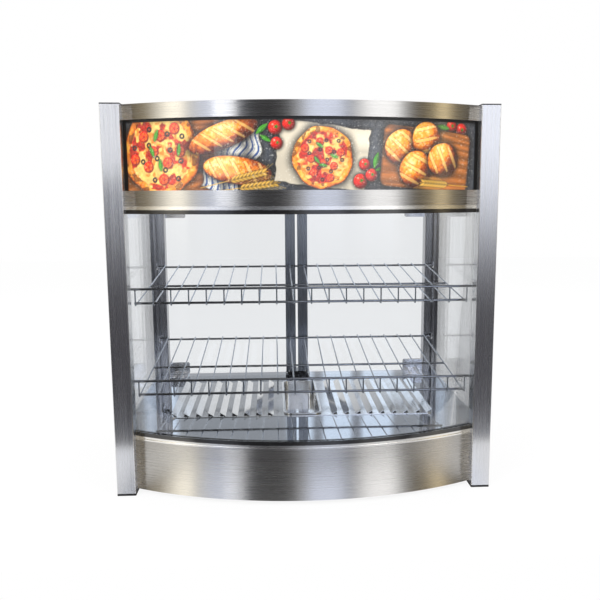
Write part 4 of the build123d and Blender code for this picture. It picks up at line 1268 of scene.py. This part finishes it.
    def wheat(self, x0: float, y0: float, x1: float, y1: float) -> None:
        """Ear of wheat: a thin stalk, with pairs of grains and whiskers along its upper part.

        Args:
            x0: foot of the stalk, along the panel.
            y0: foot of the stalk, up the panel.
            x1: its tip, along the panel.
            y1: its tip, up the panel.
        """
        length = math.hypot(x1 - x0, y1 - y0)
        degrees = math.degrees(math.atan2(y1 - y0, x1 - x0))
        u, v = self.turned(x0, y0, degrees)
        stalk = np.maximum(np.abs(v) - 0.0006, np.abs(u - length / 2) - length / 2)
        self.wash(self.cover(stalk), Ink.STRAW)
        for k in range(9):
            for side in (-1, 1):
                place = length * (0.5 + 0.055 * k)
                gu, gv = u - place - side * 0.001, v - side * 0.0026
                a = side * 0.45
                ru, rv = gu * math.cos(a) + gv * math.sin(a), -gu * math.sin(a) + gv * math.cos(a)
                grain = (np.hypot(ru / 0.0052, rv / 0.0021) - 1) * 0.0021
                self.shade(self.cover(grain - 0.0008), 0.6)
                self.wash(self.cover(grain), Ink.GRAIN, 0.85 + 60 * rv)
                whisker = np.maximum(np.abs(rv) - 0.0003, np.abs(ru - 0.011) - 0.007)
                self.wash(self.cover(whisker) * 0.8, Ink.WHISKER)

    def picture(self) -> np.ndarray:
        """Paint the whole picture, darkened along its top by painted shade under the top band.

        Returns:
            Linear colours, one row for each point.
        """
        self.board(-0.235, 0.045, 0.105, 0.062, 8)
        self.pizza(-0.247, 0.062, 0.072, 3)
        self.cloth(-0.118, 0.05, 0.032, -24, 4)
        self.loaf(-0.135, 0.088, 0.062, 0.021, 20, 6, 21)
        self.loaf(-0.112, 0.032, 0.058, 0.022, -8, 5, 25)
        self.wheat(-0.175, 0.004, -0.06, 0.03)
        self.wheat(-0.165, -0.004, -0.04, 0.012)
        self.parchment(0.03, 0.055, 0.075, 0.05, -7)
        self.pizza(0.03, 0.052, 0.05, 11)
        for cx, cy, radius in ((-0.048, 0.1, 0.0115), (-0.026, 0.106, 0.0105), (-0.046, 0.075, 0.01),
                               (0.093, 0.014, 0.012), (0.112, 0.024, 0.0105), (0.1, 0.041, 0.0095),
                               (0.283, 0.1, 0.012), (0.262, 0.106, 0.0105)):
            self.tomato(cx, cy, radius)
        for cx, cy, length, degrees in ((-0.07, 0.098, 0.013, 40), (-0.064, 0.083, 0.011, 150),
                                        (0.12, 0.048, 0.014, 75), (0.13, 0.034, 0.012, 10),
                                        (0.245, 0.104, 0.013, 170), (0.25, 0.018, 0.013, 30)):
            self.leaf(cx, cy, length, degrees)
        self.board(0.215, 0.05, 0.085, 0.05, -5)
        for cx, cy, radius, seed in ((0.165, 0.07, 0.03, 51), (0.212, 0.083, 0.029, 55),
                                     (0.192, 0.034, 0.031, 59), (0.245, 0.05, 0.03, 63)):
            self.loaf(cx, cy, radius, radius * 0.92, seed * 13 % 90, 3, seed)
        self.wheat(0.3, 0.005, 0.2, 0.012)
        flour = (self.cloud(0.0016, 71) > 0.86) * (self.cloud(0.03, 72) > 0.45)
        self.wash(flour * 0.4, Ink.SPILT_FLOUR)
        # Painted shade under the top band: the top 7 per cent of the picture darkens, to 0.72 at its top
        # edge.
        self.shade(np.clip((self.y / self.height - 0.93) / 0.07, 0, 1), 0.72)
        grey = self.colour.mean(axis=2, keepdims=True)
        vivid = grey + (self.colour - grey) * 1.22
        return np.clip(vivid, 0, 1).reshape(-1, 3) ** 2.1


@dataclass
class Header:
    """Light box over the front: bands, printed panel and lamp."""

    bow: Bow
    print_lift: float = 0.00006
    pitch: float = 0.00105
    end_strip: float = 0.0062
    top_strip: float = 0.0046

    def build_print(self) -> bpy.types.Object:
        """Printed sheet on the panel's face: a grid on the arc with the picture as its colours.

        Returns:
            The sheet.
        """
        low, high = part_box("picture_gasket")
        panel_low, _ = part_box("picture_panel")
        set_back = panel_low[1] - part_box("header_top_band")[0][1]
        reach = (self.bow.half_width - self.end_strip) / (self.bow.radius - set_back)
        half = self.bow.radius * math.asin(reach)
        canvas = Canvas(2 * half, high[2] - low[2] - self.top_strip, self.pitch)
        points = self.bow.points(canvas.x, canvas.y + low[2], set_back - self.print_lift)
        rows, columns = canvas.x.shape
        piece = make_piece("picture_print", points.reshape(-1, 3), sheet_faces(rows, columns))
        finish = PrintedGloss("printed_gloss")
        ink = piece.data.color_attributes.new(finish.attribute, "FLOAT_COLOR", "POINT")
        colours = np.column_stack([canvas.picture(), np.ones(rows * columns)])
        ink.data.foreach_set("color", colours.ravel())
        finish.dress(piece)
        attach(piece, "cabinet")
        return piece

    def dress(self, nodes: dict[str, bpy.types.Object]) -> None:
        """Finishes of the header's own parts.

        Args:
            nodes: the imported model's pieces by name.
        """
        for name in ("header_top_band", "header_lower_band", "header_rear_panel"):
            LEVEL_STEEL.dress(nodes[name])
        BrushedSteel("flat_brushed", Grain.FRONT_TO_BACK).dress(nodes["roof_panel"], nodes["header_ceiling"])
        Moulding("panel_back", (0.1, 0.1, 0.11), 0.25).dress(nodes["picture_panel"])
        Moulding("diffuser_white", (0.9, 0.9, 0.88), 0.45).dress(nodes["picture_diffuser"])
        GASKET_BLACK.dress(nodes["picture_gasket"])
        Moulding("lamp_frosted", (0.95, 0.94, 0.9), 0.3).dress(nodes["lamp_tube"])
        Moulding("holder_white", (0.86, 0.86, 0.84), 0.4).dress(nodes["lamp_holders"])
        ClearGlass("window_glass").dress(nodes["lamp_window"])


@dataclass
class Shell:
    """Posts, base, side sheets and glazing."""

    def dress(self, nodes: dict[str, bpy.types.Object]) -> None:
        """Finishes of the shell.

        Args:
            nodes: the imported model's pieces by name.
        """
        upright = BrushedSteel("upright_brushed", Grain.UPRIGHT, (0.77, 0.77, 0.78), 0.24)
        upright.dress(nodes["front_left_post"], nodes["front_right_post"])
        inner = BrushedSteel("rear_post_brushed", Grain.UPRIGHT, (0.5, 0.51, 0.54), line_contrast=0.07)
        inner.dress(nodes["rear_left_post"], nodes["rear_right_post"])
        LEVEL_STEEL.dress(nodes["base_rear_panel"], nodes["side_panels"])
        BrushedSteel("fascia_brushed", Grain.LEVEL, (0.61, 0.6, 0.59)).dress(nodes["base_fascia"])
        for edge in ("lower", "upper"):
            BrightSteel("rail_bright", (0.95, 0.94, 0.92), 0.2).dress(nodes[f"{edge}_glass_rail"])
            GlossBlack("seal_black", roughness=0.1, coat=1.0).dress(nodes[f"{edge}_glass_seal"])
        GlossBlack("cap_black", roughness=0.4, grain=0.3).dress(nodes["post_caps"], nodes["feet"])
        PANE_GLASS.dress(nodes["front_glass"], nodes["side_glasses"])
        BrightSteel("floor_mirror", (0.54, 0.56, 0.59), 0.02, 0.03, 0.1).dress(nodes["floor_plate"])
        ZincPlate("zinc_sheet").dress(nodes["bottom_plate"], nodes["element_brackets"])
        BrightSteel("screw_bright", roughness=0.16).dress(nodes["screws"])


@dataclass
class Doors:
    """Rear doors with their fittings."""

    def dress(self, nodes: dict[str, bpy.types.Object]) -> None:
        """Finishes of the doors.

        Args:
            nodes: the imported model's pieces by name.
        """
        stile = BrushedSteel("stile_brushed", Grain.UPRIGHT, (0.4, 0.43, 0.48), 0.28)
        clamp = BrightSteel("clamp_bright", roughness=0.06)
        for side in ("left", "right"):
            PANE_GLASS.dress(nodes[f"{side}_door_glass"])
            stile.dress(nodes[f"{side}_door_stile"])
            GASKET_BLACK.dress(nodes[f"{side}_door_gasket"])
            BrightSteel("handle_bright", roughness=0.1).dress(nodes[f"{side}_door_handle"])
            clamp.dress(nodes[f"{side}_door_clamps"])
        clamp.dress(nodes["hinge_plates"])
        GlossBlack("catch_black", roughness=0.2, grain=0.1, coat=0.3).dress(nodes["door_catch"])


@dataclass
class Shelves:
    """Two wire shelves on their clips, with a weld where each wire meets a rod."""

    rod_radius: float = 0.00225
    wire_radius: float = 0.00135
    wire_pitch: float = 0.032
    slope: float = math.radians(4.28)
    lip: float = 0.0261
    middle_share: float = 0.537
    bead: Size = (0.0019, 0.0019, 0.0011)
    bead_rise: float = 0.0002
    bead_rings: int = 7
    bead_sides: int = 10

    def weld_places(self, level: str) -> np.ndarray:
        """Where a shelf's wires touch its rods, as (y, z), worked out from the rods' box.

        The front rod is the lowest and the rear rod the hindmost. The wires pass over the rear
        and middle rods, under the front one, and end below the top one, so each weld lies one
        rod radius from its rod's centre, square to the wires or straight below.

        Args:
            level: which shelf, upper or lower.
        Returns:
            One row for each rod.
        """
        low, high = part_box(f"{level}_shelf_rods")
        lift = self.rod_radius + self.wire_radius
        top_y = low[1] + self.rod_radius
        front = np.array([top_y + lift, low[2] + self.rod_radius])
        back_y = high[1] - self.rod_radius
        run = back_y - front[0]
        back = np.array([back_y, front[1] + run * math.tan(self.slope)])
        angle = self.slope + math.asin(2 * lift / math.hypot(run, back[1] - front[1]))
        up = np.array([-math.sin(angle), math.cos(angle)])
        over, under = back + up * lift, front - up * lift
        middle = over + (under - over) * self.middle_share - up * lift
        top = np.array([top_y, front[1] + self.lip])
        reach = self.rod_radius + self.bead_rise
        return np.array([back + up * reach, middle + up * reach, front - up * reach,
                         top - np.array([0.0, reach])])

    def build_welds(self, level: str) -> bpy.types.Object:
        """Flattened beads at every crossing, as one piece.

        Each bead is a ball of rings of points: they are the sines and cosines of height and turn,
        stretched by the bead's three radii and moved to the weld.

        Args:
            level: which shelf, upper or lower.
        Returns:
            The beads.
        """
        low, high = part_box(f"{level}_shelf_wires")
        first = low[0] + self.wire_radius
        count = round((high[0] - low[0] - 2 * self.wire_radius) / self.wire_pitch) + 1
        across = first + np.arange(count) * self.wire_pitch
        turn = np.linspace(0, 2 * math.pi, self.bead_sides + 1)
        tall = np.linspace(-math.pi / 2, math.pi / 2, self.bead_rings)[:, None]
        ball = np.stack([np.cos(tall) * np.cos(turn), np.cos(tall) * np.sin(turn),
                         np.sin(tall) * np.ones_like(turn)], axis=-1).reshape(-1, 3) * np.array(self.bead)
        places = self.weld_places(level)
        spots = np.array([(x, y, z) for x in across for y, z in places])
        points = (spots[:, None, :] + ball[None]).reshape(-1, 3)
        quads = sheet_faces(self.bead_rings, self.bead_sides + 1)
        faces = (np.arange(len(spots))[:, None, None] * len(ball) + quads[None]).reshape(-1, 4)
        piece = make_piece(f"{level}_shelf_welds", points, faces)
        BrightSteel("weld_chrome", (0.42, 0.44, 0.48), 0.2, 0.1).dress(piece)
        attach(piece, f"{level}_shelf")
        return piece

    def dress(self, nodes: dict[str, bpy.types.Object]) -> None:
        """Finishes of the shelves.

        Args:
            nodes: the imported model's pieces by name.
        """
        wire = BrightSteel("wire_chrome", (0.5, 0.54, 0.6), 0.06, 0.06)
        rod = BrightSteel("rod_chrome", (0.4, 0.41, 0.43), 0.05, 0.05)
        for level in ("upper", "lower"):
            wire.dress(nodes[f"{level}_shelf_wires"])
            rod.dress(nodes[f"{level}_shelf_rods"])
        BrightSteel("clip_bright", roughness=0.2).dress(nodes["shelf_clips"])


@dataclass
class HeatedFloor:
    """Louvred plate, water pan and heating elements."""

    def dress(self, nodes: dict[str, bpy.types.Object]) -> None:
        """Finishes of the heated floor.

        Args:
            nodes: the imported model's pieces by name.
        """
        BrightSteel("louvre_bright", (0.74, 0.74, 0.74), 0.08, 0.05).dress(nodes["louvred_plate"])
        BrightSteel("pan_bright", (0.88, 0.88, 0.88), 0.1, 0.05).dress(nodes["water_pan"])
        HeatedSheath("heated_sheath").dress(nodes["heating_elements"])


@dataclass
class Controls:
    """Thermostat, switches, pilot lamp, inlet and wiring, with the marks printed round the knob."""

    dial_inner: float = 0.0195
    dial_outer: float = 0.0222
    dial_ticks: int = 11
    dial_start: float = 225.0
    dial_sweep: float = 270.0
    short_tick: float = 0.0011
    tick_half: float = 0.00022
    digit_gap: float = 0.0032
    digit_spread: tuple[float, float] = (1.06, 1.0)
    digit_size: tuple[float, float] = (0.0017, 0.0034)
    digit_step: float = 1.6
    digit_half: float = 0.000175
    lift: float = 0.00008
    bar_half: tuple[float, float] = (0.0003, 0.0017)
    ring_radii: tuple[float, float] = (0.0012, 0.0017)
    ring_sides: int = 24
    rocker_half: float = 0.0109
    rocker_dish: float = 0.0018
    rocker_slope: float = 0.128
    rocker_tilt: float = math.radians(10)

    def dial_direction(self, share: float) -> np.ndarray:
        """Direction from the knob's centre at a share of its turn, clockwise from lower left."""
        angle = math.radians(self.dial_start - self.dial_sweep * share)
        return np.array([math.cos(angle), math.sin(angle)])

    def ticks(self) -> list[tuple[np.ndarray, np.ndarray, float]]:
        """Ticks round the knob, as start, end and half width. Every fifth one is longer.

        Returns:
            One entry for each tick.
        """
        lines = []
        for k in range(self.dial_ticks):
            way = self.dial_direction(k / (self.dial_ticks - 1))
            inner = self.dial_inner + (0.0 if k % 5 == 0 else self.short_tick)
            lines.append((way * inner, way * self.dial_outer, self.tick_half))
        return lines

    def digits(self) -> list[tuple[np.ndarray, np.ndarray, float]]:
        """Numbers at each third of the turn, as start, end and half width of each stroke.

        They are drawn from the seven bars of a counter, each bar given by its ends in digit
        widths and heights.

        Returns:
            One entry for each stroke.
        """
        bars = {"a": (0, 1, 1, 1), "b": (1, 1, 1, 0.5), "c": (1, 0.5, 1, 0), "d": (1, 0, 0, 0),
                "e": (0, 0, 0, 0.5), "f": (0, 0.5, 0, 1), "g": (0, 0.5, 1, 0.5)}
        shapes = {"0": "abcdef", "3": "abgcd", "6": "afgedc", "9": "abcdfg"}
        size = np.array(self.digit_size)
        lines = []
        for text, step in (("0", 0), ("30", 3.333), ("60", 6.667), ("90", 10)):
            reach = (self.dial_outer + self.digit_gap) * np.array(self.digit_spread)
            middle = self.dial_direction(step / (self.dial_ticks - 1)) * reach
            length = (len(text) - 1) * self.digit_step + 1
            first = middle - size * (length, 1) / 2
            for n, letter in enumerate(text):
                corner = first + size * (n * self.digit_step, 0)
                for bar in shapes[letter]:
                    start, end = np.array(bars[bar]).reshape(2, 2)
                    lines.append((corner + size * start, corner + size * end, self.digit_half))
        return lines

    def build_dial(self) -> bpy.types.Object:
        """Printed marks just above the rear panel's face: one flat four-sided face per stroke.

        Returns:
            The marks.
        """
        low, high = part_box("thermostat_knob")
        centre = ((low[0] + high[0]) / 2, (low[2] + high[2]) / 2)
        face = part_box("base_rear_panel")[1][1] + self.lift
        lines = self.ticks() + self.digits()
        start, end, half = (np.array(part).reshape(len(lines), -1) for part in zip(*lines))
        along = (end - start) / np.linalg.norm(end - start, axis=1, keepdims=True)
        side = np.column_stack([-along[:, 1], along[:, 0]]) * half
        start, end = start - along * half, end + along * half
        corners = np.stack([start - side, start + side, end + side, end - side], axis=1).reshape(-1, 2)
        # Seen from behind, X runs to the left, so the marks are turned over.
        x, z = centre[0] - corners[:, 0], centre[1] + corners[:, 1]
        points = np.column_stack([x, np.full(len(corners), face), z])
        piece = make_piece("dial_marks", points, np.arange(len(points)).reshape(-1, 4), smooth=False)
        Moulding("print_black", (0.02, 0.02, 0.02), 0.45).dress(piece)
        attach(piece, "cabinet")
        return piece

    def build_rocker_marks(self, switch: str) -> bpy.types.Object:
        """Bar and ring on a rocker's dished face, just above it.

        The face rises in step with the height above or below the pivot, from the dish to its
        ends. The rocker rests tilted, so the marks' points are turned about the pivot too.

        Args:
            switch: which switch, power or lamp.
        Returns:
            The marks.
        """
        low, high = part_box(f"{switch}_rocker")
        knob_low, knob_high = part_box("thermostat_knob")
        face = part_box("base_rear_panel")[1][1]
        turn = np.linspace(0, 2 * math.pi, self.ring_sides + 1)
        bar = np.array([(-1, -1), (1, -1), (1, 1), (-1, 1)]) * self.bar_half
        circle = np.column_stack([np.cos(turn), np.sin(turn)])
        ring = np.concatenate([circle * radius for radius in self.ring_radii])
        middle = (0.0, self.rocker_half / 2)
        flat = np.concatenate([bar + middle, ring - middle])
        out = self.rocker_dish + self.rocker_slope * np.abs(flat[:, 1]) + self.lift
        cos, sin = math.cos(self.rocker_tilt), math.sin(self.rocker_tilt)
        y = face + out * cos + flat[:, 1] * sin
        z = (knob_low[2] + knob_high[2]) / 2 - out * sin + flat[:, 1] * cos
        points = np.column_stack([(low[0] + high[0]) / 2 + flat[:, 0], y, z])
        faces = np.concatenate([[[0, 1, 2, 3]], sheet_faces(2, self.ring_sides + 1) + 4])
        piece = make_piece(f"{switch}_rocker_marks", points, faces, smooth=False)
        Moulding("print_white", (0.85, 0.85, 0.83), 0.4).dress(piece)
        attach(piece, f"{switch}_button")
        return piece

    def dress(self, nodes: dict[str, bpy.types.Object]) -> None:
        """Finishes of the controls.

        Args:
            nodes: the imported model's pieces by name.
        """
        black = GlossBlack("moulded_black", (0.02, 0.02, 0.021), 0.38, 0.3)
        for name in ("thermostat_knob", "power_rocker", "lamp_rocker", "switch_housings", "thermostat_body",
                     "power_inlet"):
            black.dress(nodes[name])
        Moulding("pilot_amber", (0.9, 0.32, 0.04), 0.15, 0.2).dress(nodes["pilot_lamp"])
        Moulding("block_white", (0.85, 0.84, 0.8), 0.45).dress(nodes["terminal_block"])
        Moulding("lead_red", (0.5, 0.06, 0.04), 0.5).dress(nodes["wiring"])
        BrightSteel("bulb_copper", (0.85, 0.55, 0.4), 0.25).dress(nodes["thermostat_bulb"])


def main() -> None:
    """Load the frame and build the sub-assemblies in order."""
    logging.basicConfig(level=logging.INFO, format="%(name)s: %(message)s")
    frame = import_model()
    nodes = frame["nodes"]
    CameraFit().build()
    Studio().build()
    header = Header(Bow.of_cabinet())
    shelves, controls = Shelves(), Controls()
    pieces = [header.build_print(), shelves.build_welds("upper"), shelves.build_welds("lower"),
              controls.build_dial()]
    pieces += [controls.build_rocker_marks(switch) for switch in ("power", "lamp")]
    log.info("built %s", ", ".join(piece.name for piece in pieces))
    for assembly in (header, Shell(), Doors(), shelves, HeatedFloor(), controls):
        assembly.dress(nodes)
        log.info("dressed %s", type(assembly).__name__)


if __name__ == "__main__":
    main()
